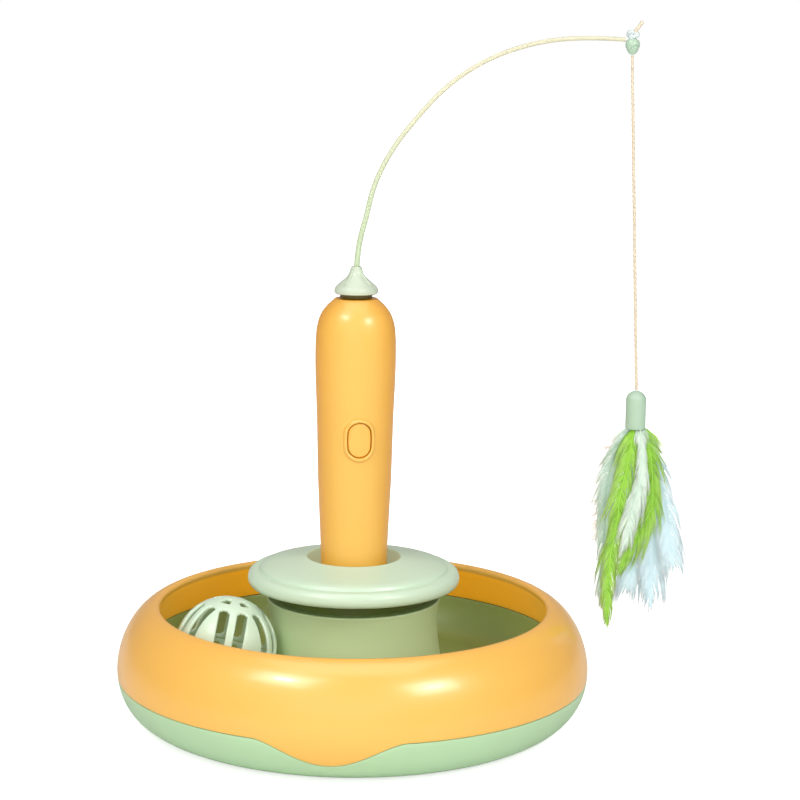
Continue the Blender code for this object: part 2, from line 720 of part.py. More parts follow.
def make_holder_disc():
    """Disc, plug skirt inside the neck and the socket tube, whose bore follows the wand."""
    bore = [(radius, height) for radius, height in wand_profile(GAP)
            if height < DISH_HEIGHT - DISH_DEPTH]
    mouth = DISH_HEIGHT - DISH_DEPTH
    mouth_radius = wand_radius(mouth) + GAP + SOCKET_MOUTH
    inner_floor = WAND_BOTTOM - GAP
    tube_radius = mouth_radius + SOCKET_WALL
    under = NECK_HEIGHT + GAP
    plug_radius = NECK_RADIUS - FLOOR_WALL - GAP
    web = under - SOCKET_WALL
    profile = [(0, inner_floor - SOCKET_FLOOR), (tube_radius, inner_floor - SOCKET_FLOOR),
               (tube_radius, web), (plug_radius - SOCKET_WALL, web),
               (plug_radius - SOCKET_WALL, under - PLUG_LENGTH), (plug_radius, under - PLUG_LENGTH),
               (plug_radius, under), (DISC_UNDER_RADIUS - 2 * LIP_ROUND, under),
               (DISC_UNDER_RADIUS + LIP_ROUND, under - DISC_RIM_DROP),
               (DISC_RADIUS - 2 * LIP_ROUND, under - DISC_RIM_DROP),
               (DISC_RADIUS, under - DISC_RIM_DROP + 2 * LIP_ROUND), (DISC_RADIUS, DISC_RIM_HEIGHT),
               (DISC_RADIUS - LIP_ROUND, DISC_RIM_HEIGHT + 3 * LIP_ROUND),
               (DISC_STEP_RADIUS + 3 * LIP_ROUND, DISC_STEP_HEIGHT - DISC_STEP_DEPTH),
               (DISC_STEP_RADIUS, DISC_STEP_HEIGHT - DISC_STEP_DEPTH),
               (DISC_STEP_RADIUS, DISC_STEP_HEIGHT),
               (DISH_RADIUS + 3 * LIP_ROUND, DISH_HEIGHT - DISC_STEP_DEPTH),
               (DISH_RADIUS, DISH_HEIGHT), (DISH_RADIUS - 2 * LIP_ROUND, DISH_HEIGHT - 2 * LIP_ROUND),
               (mouth_radius, mouth)]
    profile += [(wand_radius(mouth) + GAP, mouth - SOCKET_MOUTH)]
    profile += [(radius, height) for radius, height in reversed(bore[1:])]
    profile += [(bore[0][0], inner_floor), (0, inner_floor)]
    return turned("holder_disc", profile, MINT, DISC_STEPS)


# Wand shells and what they hold

WAND_SCREW_PLACES = ((0.0, WAND_SCREW_LOW), (WAND_SCREW_SIDE, WAND_SCREW_MIDDLE),
                     (-WAND_SCREW_SIDE, WAND_SCREW_MIDDLE), (-WAND_SCREW_SIDE, WAND_SCREW_HIGH))


def skin_depth(side, height, offset=0.0):
    """Distance from the split plane to the wand's skin at a side offset and a height."""
    return math.sqrt((wand_radius(height) + offset) ** 2 - side ** 2)


def screw_head_depth(side, height):
    """Depth of a wand screw's head, sunk under the rear skin."""
    return skin_depth(abs(side) + SCREW_HEAD_RADIUS, height) - GAP


def wand_half(name, facing):
    """Hollow half of the wand; facing is -1 for the front half and 1 for the rear half."""
    outer = wand_profile()
    inner = wand_profile(-WAND_WALL)
    nose = NOSE_RADIUS + GAP
    foot = outer[0][0] - WAND_WALL / 2
    profile = [(foot, WAND_BOTTOM)] + outer[1:] + [(WAND_TOP_RADIUS, WAND_TOP), (nose, WAND_TOP)]
    profile += [(nose, WAND_TOP - NOSE_WALL), (WAND_TOP_RADIUS - WAND_WALL, WAND_TOP - NOSE_WALL)]
    profile += inner[-2:0:-2] + [(inner[0][0], WAND_BOTTOM + WAND_WALL)]
    shape = bmesh.new()
    split = facing * GAP / 2
    bottom = shape.verts.new((0, split, WAND_BOTTOM))
    top = shape.verts.new((0, split, WAND_BOTTOM + WAND_WALL))
    rows = []
    for radius, height in profile:
        turns = spread(0, math.pi, WAND_STEPS // 2 + 1)
        rows.append([shape.verts.new((radius * math.cos(turn),
                                      split + facing * radius * math.sin(turn), height))
                     for turn in turns])
    for pole, row in ((bottom, rows[0]), (top, rows[-1])):
        for first, second in zip(row, row[1:]):
            shape.faces.new((pole, first, second))
    for low, high in zip(rows, rows[1:]):
        for step in range(len(low) - 1):
            shape.faces.new((low[step], low[step + 1], high[step + 1], high[step]))
    right = [row[0] for row in rows]
    left = [row[-1] for row in rows]
    shape.faces.new([bottom] + right + [top] + left[::-1])
    return object_from_bmesh(name, shape, YELLOW)


def wand_bosses(side_sign, near, radius):
    """Screw bosses from the shell's wall to the split plane, on one side of it."""
    bosses = []
    for side, height in WAND_SCREW_PLACES:
        boss = lying_drum("boss", radius, near, side_sign * 2 * WAND_RADIUS, side, height, YELLOW)
        bosses.append(keep_common(boss, wand_solid("limit", -WAND_WALL / 2, YELLOW)))
    return bosses


def make_front_shell():
    reach = 2 * WAND_RADIUS
    shell = wand_half("handle_front_shell", -1)
    join(shell, *wand_bosses(-1, -GAP / 2, WAND_BOSS_RADIUS))
    bezel = wand_solid("bezel", BEZEL_PROUD, YELLOW)
    depth = WAND_RADIUS - FLANGE_DEPTH / 2
    keep_common(bezel, oval_prism("oval", BEZEL_WIDTH, BEZEL_LENGTH, -reach, -depth, YELLOW))
    join(shell, bezel)
    hole_width = BUTTON_WIDTH + 2 * BUTTON_GROOVE
    hole_length = BUTTON_LENGTH + 2 * BUTTON_GROOVE
    opening = oval_prism("opening", hole_width, hole_length, -reach, BOARD_FRONT, YELLOW)
    deep = BOARD_FRONT + BOARD_THICKNESS + GAP
    floor_low = CELL_BOTTOM - SPRING_HEIGHT - CONTACT_THICKNESS - 2 * GAP - RIB_THICKNESS
    ribs = []
    for low in (floor_low, ROOF_HEIGHT):
        wide = RIB_REACH_SHARE * (wand_radius(low) - WAND_WALL / 2)
        ribs.append(block("rib", (-wide, deep, low), (wide, -GAP / 2, low + RIB_THICKNESS), YELLOW))
    posts = []
    for side in (-POST_SPREAD, POST_SPREAD):
        for end in (-1, 1):
            height = BOARD_MIDDLE + end * (BOARD_LENGTH / 2 - POST_INSET)
            near = -(skin_depth(side, height) - WAND_WALL / 2)
            posts.append(lying_drum("post", POST_RADIUS, near, BOARD_FRONT - GAP, side, height, YELLOW, 8))
    join(shell, *ribs, *posts)
    holes = [lying_drum("hole", SCREW_RADIUS + GAP, GAP - WAND_SCREW_LENGTH, CUT_OVERRUN, side, height,
                        YELLOW, 8) for side, height in WAND_SCREW_PLACES]
    return cut(shell, opening, *holes)


def door_box(name, grow):
    """Straight-sided block that outlines the battery door, so that it lifts off along +Y."""
    half = DOOR_WIDTH / 2 + grow
    reach = 2 * WAND_RADIUS
    return block(name, (-half, CELL_RADIUS, DOOR_BOTTOM - grow), (half, reach, DOOR_TOP + grow), YELLOW)


def door_screw_place():
    height = DOOR_TOP - DOOR_SCREW_DROP
    return height, skin_depth(SCREW_HEAD_RADIUS, height) - GAP


def make_rear_shell():
    reach = 2 * WAND_RADIUS
    shell = wand_half("handle_rear_shell", 1)
    join(shell, *wand_bosses(1, GAP / 2, REAR_BOSS_RADIUS))
    tools = [door_box("door_opening", GAP)]
    for side, height in WAND_SCREW_PLACES:
        head = screw_head_depth(side, height)
        tools.append(lying_drum("well", SCREW_HEAD_RADIUS + GAP, head - SCREW_HEAD_HEIGHT - GAP, reach,
                                side, height, YELLOW))
        tools.append(lying_drum("hole", SCREW_RADIUS + GAP, -CUT_OVERRUN, reach, side, height, YELLOW, 8))
    cut(shell, *tools)
    height, depth = door_screw_place()
    face = depth - SCREW_HEAD_HEIGHT - DOOR_SEAT - GAP
    back = face - WAND_BOSS_RADIUS
    top = DOOR_TOP + DOOR_LIP
    chord = math.sqrt((wand_radius(top) - WAND_WALL) ** 2 - face ** 2) + WAND_WALL / 2
    bridge = block("bridge", (-chord, back, DOOR_TOP + GAP), (chord, face, top), YELLOW)
    tongue = block("tongue", (-chord + WAND_WALL, back, height - DOOR_SCREW_DROP),
                   (chord - WAND_WALL, face, top - BOND), YELLOW)
    join(shell, bridge, tongue)
    hole = lying_drum("hole", SCREW_RADIUS + GAP, depth - SCREW_LENGTH, reach, 0.0, height, YELLOW, 8)
    return cut(shell, hole)


def make_door(empty):
    """Curved door cut out of the wand's skin, with a boss for its captive screw."""
    door = wand_solid("battery_door", 0.0, YELLOW)
    keep_common(door, door_box("outline", 0.0))
    core = wand_solid("core", -WAND_WALL, YELLOW)
    cut(door, core)
    height, depth = door_screw_place()
    seat = lying_drum("seat", REAR_BOSS_RADIUS, depth - SCREW_HEAD_HEIGHT - DOOR_SEAT,
                      depth - WAND_WALL / 2, 0.0, height, YELLOW)
    join(door, seat)
    reach = 2 * WAND_RADIUS
    well = lying_drum("well", SCREW_HEAD_RADIUS + GAP, depth - SCREW_HEAD_HEIGHT - GAP, reach,
                      0.0, height, YELLOW)
    hole = lying_drum("hole", SCREW_RADIUS + GAP, -CUT_OVERRUN, reach, 0.0, height, YELLOW, 8)
    cut(door, well, hole)
    return ride(door, empty)


def make_wand_screws():
    for index, (side, height) in enumerate(WAND_SCREW_PLACES, 1):
        depth = screw_head_depth(side, height)
        length = depth + WAND_SCREW_LENGTH - 2 * GAP
        pan_screw(f"handle_screw_{index}", (side, depth, height), (0, 1, 0), length)


def button_front():
    """Distance of the button's crown from the wand's axis."""
    return wand_radius(BUTTON_HEIGHT) + BUTTON_PROUD


def flange_back():
    return wand_radius(BUTTON_HEIGHT) - FLANGE_DEPTH - FLANGE_THICKNESS


def make_button(empty):
    """Oval push button, its front following the wand's skin, with a flange that keeps it in."""
    reach = 2 * WAND_RADIUS
    button = wand_solid("button", BUTTON_PROUD, YELLOW)
    depth = flange_back() + FLANGE_THICKNESS / 2
    keep_common(button, oval_prism("oval", BUTTON_WIDTH, BUTTON_LENGTH, -reach, -depth, YELLOW))
    flange = oval_prism("flange", BUTTON_WIDTH + 2 * FLANGE_EDGE, BUTTON_LENGTH + 2 * FLANGE_EDGE,
                        -flange_back() - FLANGE_THICKNESS, -flange_back(), YELLOW)
    return ride(join(button, flange), empty)


def make_switch(empty):
    """Circuit board, switch body with its well, and the plunger that the button presses."""
    half = BOARD_LENGTH / 2
    block("circuit_board", (-BOARD_WIDTH / 2, BOARD_FRONT, BOARD_MIDDLE - half),
          (BOARD_WIDTH / 2, BOARD_FRONT + BOARD_THICKNESS, BOARD_MIDDLE + half), BOARD_GREEN)
    side = SWITCH_SIDE / 2
    back = BOARD_FRONT - GAP
    front = back - SWITCH_DEPTH
    body = block("switch_body", (-side, front, BUTTON_HEIGHT - side),
                 (side, back, BUTTON_HEIGHT + side), BLACK)
    plunger_front = -flange_back() + GAP
    plunger_back = plunger_front + PLUNGER_REACH
    well_floor = plunger_back + BUTTON_TRAVEL + RUNNING_GAP
    cut(body, lying_drum("well", PLUNGER_RADIUS + GAP, -WAND_RADIUS, well_floor, 0.0, BUTTON_HEIGHT, BLACK))
    plunger = lying_drum("switch_plunger", PLUNGER_RADIUS, plunger_front, plunger_back,
                         0.0, BUTTON_HEIGHT, IVORY)
    ride(plunger, empty)


def make_cells():
    """Two cells side by side, nubs in opposite directions, between sheet contacts."""
    spacing = CELL_RADIUS + GAP
    roof = CELL_BOTTOM + CELL_LENGTH + CELL_NUB_HEIGHT
    for index, side in enumerate((-spacing, spacing), 1):
        flip = 1 if index == 1 else -1
        low = CELL_BOTTOM if flip == 1 else roof
        profile = [(0, low), (CELL_RADIUS, low), (CELL_RADIUS, low + flip * CELL_LENGTH),
                   (CELL_NUB_RADIUS, low + flip * CELL_LENGTH),
                   (CELL_NUB_RADIUS, low + flip * (CELL_LENGTH + CELL_NUB_HEIGHT)),
                   (0, low + flip * (CELL_LENGTH + CELL_NUB_HEIGHT))]
        turned(f"battery_{index}", profile, CELL_SLEEVE, 20, (side, 0))
        half = CONTACT_SIDE / 2
        block(f"top_contact_{index}", (side - half, -half, roof + GAP),
              (side + half, half, roof + GAP + CONTACT_THICKNESS), STEEL)
    low = CELL_BOTTOM - GAP - SPRING_HEIGHT
    half = CONTACT_SIDE / 2
    bridge = block("contact_bridge", (-spacing - half, -half, low - CONTACT_THICKNESS),
                   (spacing + half, half, low), STEEL)
    root = low - CONTACT_THICKNESS / 2
    crown = low + SPRING_HEIGHT
    cone = ((0, root), (SPRING_RADIUS, root), (SPRING_RADIUS / 2, crown), (0, crown))
    spring = turned("spring", cone, STEEL, 12, (-spacing, 0))
    bump = drum("bump", CELL_NUB_RADIUS, root, crown, STEEL, 12, (spacing, 0))
    join(bridge, spring, bump)


def make_door_screw(empty):
    height, depth = door_screw_place()
    pan_screw("door_screw", (0, depth, height), (0, 1, 0), SCREW_LENGTH - GAP, STEEL, empty)


# Drive train

def pitch_radius(teeth):
    return teeth * MODULE / 2


GEAR_CENTRE = pitch_radius(WHEEL_TEETH) + pitch_radius(PINION_TEETH)


def gear_outline(teeth, phase, centre):
    """Trapezoid teeth that touch the involute at the tip and at the root."""
    pitch = pitch_radius(teeth)
    tip = pitch + ADDENDUM_SHARE * MODULE
    root = pitch - DEDENDUM_SHARE * MODULE
    pressure = math.radians(PRESSURE_ANGLE)
    base = pitch * math.cos(pressure)
    at_pitch = math.pi / 2 / teeth - BACKLASH_SHARE * MODULE / 4 / pitch + math.tan(pressure) - pressure

    def half_angle(radius):
        slope = math.acos(min(1.0, base / radius))
        return at_pitch - (math.tan(slope) - slope)

    points = []
    for tooth in range(teeth):
        middle = phase + 2 * math.pi * tooth / teeth
        for radius, turn in ((root, -half_angle(max(base, root))), (tip, -half_angle(tip)),
                             (tip, half_angle(tip)), (root, half_angle(max(base, root)))):
            points.append((centre[0] + radius * math.cos(middle + turn),
                           centre[1] + radius * math.sin(middle + turn)))
    return points


def gear(name, teeth, phase, centre, low, high, finish):
    outline = gear_outline(teeth, phase, centre)
    ends = [[Vector((side, depth, height)) for side, depth in outline] for height in (low, high)]
    return skin(name, ends, finish)


PINION_BOTTOM = LOWER_PLATE_TOP + GAP
OUTPUT_BOTTOM = PINION_BOTTOM + PINION_WIDTH + GAP
OUTPUT_TOP = OUTPUT_BOTTOM + GEAR_WIDTH
SHAFT_TOP = ARM_BASE - 2 * GAP


def make_motor(empty):
    """Motor can with a blind shaft socket, its end cap, and the shaft with the pinion."""
    bottom = MOTOR_TOP - MOTOR_LENGTH
    boss_top = MOTOR_TOP + MOTOR_BOSS_HEIGHT
    hole = MOTOR_SHAFT_RADIUS + GAP
    profile = [(0, bottom), (MOTOR_RADIUS, bottom), (MOTOR_RADIUS, MOTOR_TOP),
               (MOTOR_BOSS_RADIUS, MOTOR_TOP), (MOTOR_BOSS_RADIUS, boss_top), (hole, boss_top),
               (hole, boss_top - SHAFT_SOCKET), (0, boss_top - SHAFT_SOCKET)]
    turned("motor_can", profile, STEEL, 18)
    drum("motor_end_cap", MOTOR_RADIUS, bottom - GAP - MOTOR_CAP_LENGTH, bottom - GAP, IVORY, 18)
    pinion_top = PINION_BOTTOM + PINION_WIDTH
    shaft_low = boss_top - SHAFT_SOCKET + GAP
    shaft = drum("motor_shaft", MOTOR_SHAFT_RADIUS, shaft_low, pinion_top, STEEL, 12)
    half_tooth = math.pi / PINION_TEETH
    pinion = gear("motor_pinion", PINION_TEETH, half_tooth, (0, 0), PINION_BOTTOM, pinion_top, BRASS)
    cut(pinion, drum("bore", MOTOR_SHAFT_RADIUS + GAP, PINION_BOTTOM - CUT_OVERRUN,
                     pinion_top + CUT_OVERRUN, BRASS, 12))
    ride(shaft, empty)
    ride(pinion, empty)


def gear_plate(name, low, high, hub):
    """Round plate with a middle hole and a hole for the compound gear's axle."""
    rim = min(wand_radius(low), wand_radius(high)) - WAND_WALL - PLATE_RIM_GAP
    plate = drum(name, rim, low, high, GEAR_WHITE, 24)
    middle = drum("hole", hub, low - CUT_OVERRUN, high + CUT_OVERRUN, GEAR_WHITE, 16)
    axle = drum("hole", AXLE_RADIUS + GAP, low - CUT_OVERRUN, high + CUT_OVERRUN, GEAR_WHITE, 12,
                (GEAR_CENTRE, 0))
    return cut(plate, middle, axle)


def make_gearbox(compound_empty, rotor_empty):
    lower = gear_plate("gearbox_lower_plate", LOWER_PLATE_BOTTOM, LOWER_PLATE_TOP,
                       MOTOR_BOSS_RADIUS + GAP)
    standoffs = [drum("standoff", STANDOFF_RADIUS, LOWER_PLATE_TOP - BOND, UPPER_PLATE_BOTTOM - GAP,
                      GEAR_WHITE, 10, centre) for centre in ring_places(STANDOFF_CIRCLE, STANDOFF_ANGLES)]
    join(lower, *standoffs)
    gear_plate("gearbox_upper_plate", UPPER_PLATE_BOTTOM, UPPER_PLATE_TOP, OUTPUT_RADIUS + GAP)
    centre = (GEAR_CENTRE, 0)
    drum("gear_axle", AXLE_RADIUS, LOWER_PLATE_BOTTOM, UPPER_PLATE_TOP, STEEL, 12, centre)

    wheel_low = PINION_BOTTOM + RUNNING_GAP
    wheel_top = wheel_low + GEAR_WIDTH
    wheel = gear("compound_gear", WHEEL_TEETH, math.pi, centre, wheel_low, wheel_top, GEAR_WHITE)
    small = gear("small", PINION_TEETH, math.pi + math.pi / PINION_TEETH, centre, wheel_top - BOND,
                 UPPER_PLATE_BOTTOM - GAP, GEAR_WHITE)
    bore = drum("bore", AXLE_RADIUS + GAP, wheel_low - CUT_OVERRUN, UPPER_PLATE_TOP, GEAR_WHITE, 12, centre)
    cut(join(wheel, small), bore)
    ride(wheel, compound_empty)

    output = gear("output_gear", WHEEL_TEETH, 0.0, (0, 0), OUTPUT_BOTTOM, OUTPUT_TOP, GEAR_WHITE)
    join(output, drum("shaft", OUTPUT_RADIUS, OUTPUT_TOP - BOND, SHAFT_TOP, GEAR_WHITE, 16))
    ride(output, rotor_empty)

    hole = OUTPUT_RADIUS + RUNNING_GAP
    under = WAND_TOP - NOSE_WALL - GAP
    flange_low = under - BUSH_FLANGE_THICKNESS
    profile = ((hole, flange_low), (BUSH_FLANGE_RADIUS, flange_low), (BUSH_FLANGE_RADIUS, under),
               (BUSH_RADIUS, under), (BUSH_RADIUS, WAND_TOP), (hole, WAND_TOP))
    turned("top_bush", profile, BRASS, 16)


def make_wires():
    """Two leads from the circuit board's back up to the motor's end cap."""
    cap_low = MOTOR_TOP - MOTOR_LENGTH - GAP - MOTOR_CAP_LENGTH
    board_back = BOARD_FRONT + BOARD_THICKNESS
    board_top = BOARD_MIDDLE + BOARD_LENGTH / 2
    reach = 4 * WIRE_RADIUS
    for name, side, finish in (("motor_wire_red", -WIRE_SIDE, WIRE_RED),
                               ("motor_wire_black", WIRE_SIDE, WIRE_BLACK)):
        route = [(side, board_back + GAP, board_top - 3 * reach),
                 (side, board_back + reach, board_top - 3 * reach),
                 (side, board_back + 2 * reach, board_top - 2 * reach),
                 (side, board_back + 2 * reach, cap_low - GAP)]
        points = smooth_route(route, 12)
        tube(name, points, [WIRE_RADIUS] * len(points), finish, 1)


# Rotor and arm

def make_rotor_cap(empty):
    """Cap with a concave top, small ribs round the rod's socket and a drive hole below."""
    profile = [(0, CAP_BOTTOM - CAP_NECK_DROP), (CAP_NECK_RADIUS, CAP_BOTTOM - CAP_NECK_DROP)]
    profile += [(CAP_RADIUS * wide, CAP_BOTTOM + CAP_HEIGHT * high) for wide, high in CAP_SHARES]
    profile += [(0, CAP_BOTTOM + CAP_HEIGHT)]
    cap = turned("rotor_cap", profile, MINT, CAP_STEPS)
    reach = CAP_RADIUS * FIN_REACH_SHARE
    top = CAP_BOTTOM + CAP_HEIGHT * FIN_HEIGHT_SHARE
    fins = []
    for index in range(FIN_COUNT):
        fin = block("fin", (0, -FIN_THICKNESS / 2, CAP_BOTTOM + CAP_NECK_DROP),
                    (reach, FIN_THICKNESS / 2, top), MINT)
        turn = math.radians(360 / FIN_COUNT * (index + 0.5))
        fin.data.transform(Matrix.Rotation(turn, 4, "Z"))
        fins.append(fin)
    join(cap, *fins)
    drive_low = CAP_BOTTOM - CAP_NECK_DROP - CUT_OVERRUN
    drive = drum("drive", OUTPUT_RADIUS + GAP, drive_low, SHAFT_TOP + GAP, MINT, 16)
    socket_top = CAP_BOTTOM + CAP_HEIGHT + CUT_OVERRUN
    socket = drum("socket", ARM_ROOT_RADIUS + GAP, ARM_BASE - GAP, socket_top, MINT, 12)
    return ride(cut(cap, drive, socket), empty)


def arm_route():
    route = [(ARM_REACH * out, 0, ARM_BASE + ARM_RISE * up) for out, up in ARM_SHARES]
    return smooth_route(route, ARM_POINTS)


def make_arm(empty):
    points = arm_route()
    radii = spread(ARM_ROOT_RADIUS, ARM_TIP_RADIUS, ARM_POINTS)
    rod = tube("arm_rod", points, radii, ROD)
    ride(rod, empty)
    profile = [(0, BEAD_CENTRE_Z - BEAD_HEIGHT / 2)]
    profile += [(BEAD_RADIUS * wide, BEAD_CENTRE_Z + BEAD_HEIGHT * high) for wide, high in BEAD_SHARES]
    profile += [(0, BEAD_CENTRE_Z + BEAD_HEIGHT / 2)]
    bead = turned("arm_tip", profile, MINT, 20, (BEAD_CENTRE_X, 0))
    tip = points[-1]
    before = points[-2]
    along = (tip - before).normalized()
    socket = drum("socket", ARM_TIP_RADIUS + GAP, -BEAD_RADIUS * 2, GAP, MINT, 10)
    socket.data.transform(Matrix.Translation(tip) @ along.to_track_quat("Z", "Y").to_matrix().to_4x4())
    return ride(cut(bead, socket), empty)


# String, knot and feather teaser

def lean_vector():
    """Direction of the hanging string."""
    lean = math.radians(STRING_LEAN)
    return Vector((math.sin(lean), 0, -math.cos(lean)))


STRING_START = Vector((BEAD_CENTRE_X, 0, BEAD_CENTRE_Z - BEAD_HEIGHT / 2 - GAP))


def string_point(distance):
    return STRING_START + lean_vector() * distance


def make_knot(empty):
    """Knot above the tip bead with the string's short free tail."""
    low = BEAD_CENTRE_Z + BEAD_HEIGHT / 2 + KNOT_LIFT
    middle = low + KNOT_RADIUS
    profile = [(0, low)]
    for step in range(1, 6):
        turn = math.pi * step / 6
        profile.append((KNOT_RADIUS * math.sin(turn), middle - KNOT_RADIUS * math.cos(turn)))
    profile.append((0, middle + KNOT_RADIUS))
    knot = turned("string_knot", profile, IVORY, 12, (BEAD_CENTRE_X, 0))
    tail = drum("tail", TAIL_RADIUS, 0, TAIL_LENGTH, CREAM, 8)
    lean = Matrix.Rotation(math.radians(TAIL_LEAN), 4, "Y")
    tail.data.transform(Matrix.Translation((BEAD_CENTRE_X, 0, middle)) @ lean)
    return ride(join(knot, tail), empty)


def domed_string(name, start, end, count, empty):
    """Length of string between two distances from the bead, its ends domed round the hinges."""
    turns = spread(math.pi / 8, math.pi / 2, 4)
    dome = [(STRING_RADIUS * (1 - math.cos(turn)), STRING_RADIUS * math.sin(turn)) for turn in turns]
    straight = spread(start + STRING_RADIUS, end - STRING_RADIUS, count)[1:-1]
    stops = [(start + along, radius) for along, radius in dome]
    stops += [(distance, STRING_RADIUS) for distance in straight]
    stops += [(end - along, radius) for along, radius in reversed(dome)]
    points = [string_point(distance) for distance, radius in stops]
    ride(tube(name, points, [radius for distance, radius in stops], CREAM, 2), empty)


def make_string(stub_empty, string_empty):
    domed_string("string_top", 0, STRING_STUB, 4, stub_empty)
    domed_string("string", STRING_STUB + GAP, STRING_LENGTH, 28, string_empty)


FERRULE_TOP = string_point(STRING_LENGTH + GAP)
FERRULE_FOOT = FERRULE_TOP - Vector((0, 0, FERRULE_LENGTH))


def make_ferrule(empty):
    foot = FERRULE_FOOT.z
    top = FERRULE_TOP.z
    shoulder = top - FERRULE_DOME
    inner = FERRULE_RADIUS - FERRULE_WALL
    profile = [(0, top)]
    for step in (3, 2, 1):
        turn = math.pi / 2 * step / 4
        profile.append((FERRULE_RADIUS * math.cos(turn), shoulder + FERRULE_DOME * math.sin(turn)))
    profile += [(FERRULE_RADIUS, shoulder), (FERRULE_RADIUS, foot), (inner, foot),
                (inner, foot + FERRULE_POCKET), (0, foot + FERRULE_POCKET)]
    return ride(turned("ferrule", profile, MINT, 18, (FERRULE_FOOT.x, 0)), empty)


# Each feather: name, finish, layer, middle line (side, down) and half widths as shares of
# FEATHER_LENGTH and FEATHER_WIDTH, from the ferrule's foot to the tip
FEATHERS = (
    ("feather_lime_long", LIME, -3,
     ((-0.012, 0.0), (-0.02, 0.05), (-0.05, 0.25), (-0.095, 0.5), (-0.12, 0.78), (-0.125, 1.0)),
     (0.0, 0.36, 0.50, 0.36, 0.22, 0.03)),
    ("feather_white_short", WHITE, -2,
     ((-0.008, 0.0), (0.01, 0.05), (0.03, 0.25), (0.02, 0.42), (-0.02, 0.60), (-0.04, 0.72)),
     (0.0, 0.22, 0.42, 0.40, 0.30, 0.03)),
    ("feather_lime_curled", LIME, -1,
     ((-0.004, 0.0), (0.035, 0.05), (0.085, 0.20), (0.09, 0.45), (0.02, 0.70), (-0.075, 0.92)),
     (0.0, 0.30, 0.42, 0.52, 0.32, 0.03)),
    ("feather_mint_left", WHITE, 0,
     ((0.0, 0.0), (-0.05, 0.10), (-0.13, 0.28), (-0.145, 0.55), (-0.14, 0.78), (-0.12, 0.94)),
     (0.0, 0.20, 0.34, 0.36, 0.26, 0.03)),
    ("feather_blue_right", PALE_BLUE, 1,
     ((0.004, 0.0), (0.04, 0.10), (0.12, 0.28), (0.185, 0.48), (0.215, 0.62), (0.235, 0.76)),
     (0.0, 0.26, 0.44, 0.56, 0.46, 0.03)),
    ("feather_blue_middle", PALE_BLUE, 2,
     ((0.008, 0.0), (0.04, 0.10), (0.10, 0.30), (0.13, 0.55), (0.125, 0.78), (0.115, 0.98)),
     (0.0, 0.26, 0.44, 0.60, 0.42, 0.04)),
    ("feather_blue_short", PALE_BLUE, 3,
     ((0.012, 0.0), (0.0, 0.10), (-0.01, 0.30), (0.01, 0.55), (0.02, 0.74), (0.005, 0.88)),
     (0.0, 0.26, 0.50, 0.64, 0.44, 0.04)),
)


def make_feather(entry, empty):
    """Flat blade with a raised middle, swept along its middle line."""
    name, finish, layer, middle, half_widths = entry
    line = [(FEATHER_LENGTH * side, 0, -FEATHER_LENGTH * down) for side, down in middle]
    widths = [(FEATHER_WIDTH * half, 0, 0) for half in half_widths]
    points = smooth_route(line, FEATHER_STEPS)
    blades = [max(point.x, 0) for point in smooth_route(widths, FEATHER_STEPS)]
    points.insert(0, points[0] + Vector((0, 0, FERRULE_POCKET - FERRULE_WALL)))
    blades.insert(0, 0)
    rings = []
    for point, blade in zip(points, blades):
        out_share = min(max(-point.z / FERRULE_POCKET, 0.0), 1.0)
        open_share = min(max(-point.z / FERRULE_LENGTH, 0.0), 1.0)
        span = QUILL_WIDTH / 2 + blade * out_share
        depth = layer * (QUILL_SPACING + (BLADE_SPACING - QUILL_SPACING) * open_share)
        thick = (QUILL_THICKNESS + (BLADE_THICKNESS - QUILL_THICKNESS) * open_share) / 2
        place = FERRULE_FOOT + Vector((point.x, depth, point.z))
        rings.append([place + Vector((-span, 0, 0)), place + Vector((0, -thick, 0)),
                      place + Vector((span, 0, 0)), place + Vector((0, thick, 0))])
    return ride(skin(name, rings, finish), empty)


# Ball and bell

def ball_centre():
    turn = math.radians(BALL_ANGLE)
    return Vector((ORBIT_RADIUS * math.cos(turn), ORBIT_RADIUS * math.sin(turn),
                   FLOOR_HEIGHT + GAP + BALL_RADIUS))


def make_ball_half(name, up, empty):
    """Lattice half of the ball: a latitude grid with the slot cells left out, then thickened."""
    shape = bmesh.new()
    columns = []
    sector = 2 * math.pi / BALL_SECTORS
    first_rib = math.radians(BALL_FIRST_RIB)
    for index in range(BALL_SECTORS):
        columns += [first_rib + sector * (index + share) for share in BALL_COLUMN_SHARES]
    first = math.degrees(GAP / 2 / BALL_RADIUS)
    latitudes = [first] + list(BALL_LATITUDES[1:])
    rows = []
    for latitude in latitudes:
        lift = math.radians(latitude)
        rows.append([shape.verts.new((BALL_RADIUS * math.cos(lift) * math.cos(turn),
                                      BALL_RADIUS * math.cos(lift) * math.sin(turn),
                                      up * BALL_RADIUS * math.sin(lift))) for turn in columns])
    pole = shape.verts.new((0, 0, up * BALL_RADIUS))
    count = len(columns)
    for row, (low, high) in enumerate(zip(rows, rows[1:])):
        for column in range(count):
            kind = column % len(BALL_COLUMN_SHARES)
            slot = row in BALL_SLOT_ROWS and kind in BALL_SLOT_COLUMNS
            pole_opening = row == BALL_POLE_ROW and kind in BALL_POLE_COLUMNS
            if not slot and not pole_opening:
                after = (column + 1) % count
                shape.faces.new((low[column], low[after], high[after], high[column]))
    for column in range(count):
        shape.faces.new((rows[-1][column], rows[-1][(column + 1) % count], pole))
    half = object_from_bmesh(name, shape, IVORY)
    shell = half.modifiers.new("wall", "SOLIDIFY")
    shell.thickness = BALL_WALL
    shell.offset = -1.0
    bpy.context.view_layer.objects.active = half
    bpy.ops.object.modifier_apply(modifier=shell.name)
    turn = Matrix.Rotation(math.radians(BALL_TILT), 4, "Y")
    half.data.transform(Matrix.Translation(ball_centre()) @ turn)
    return ride(half, empty)


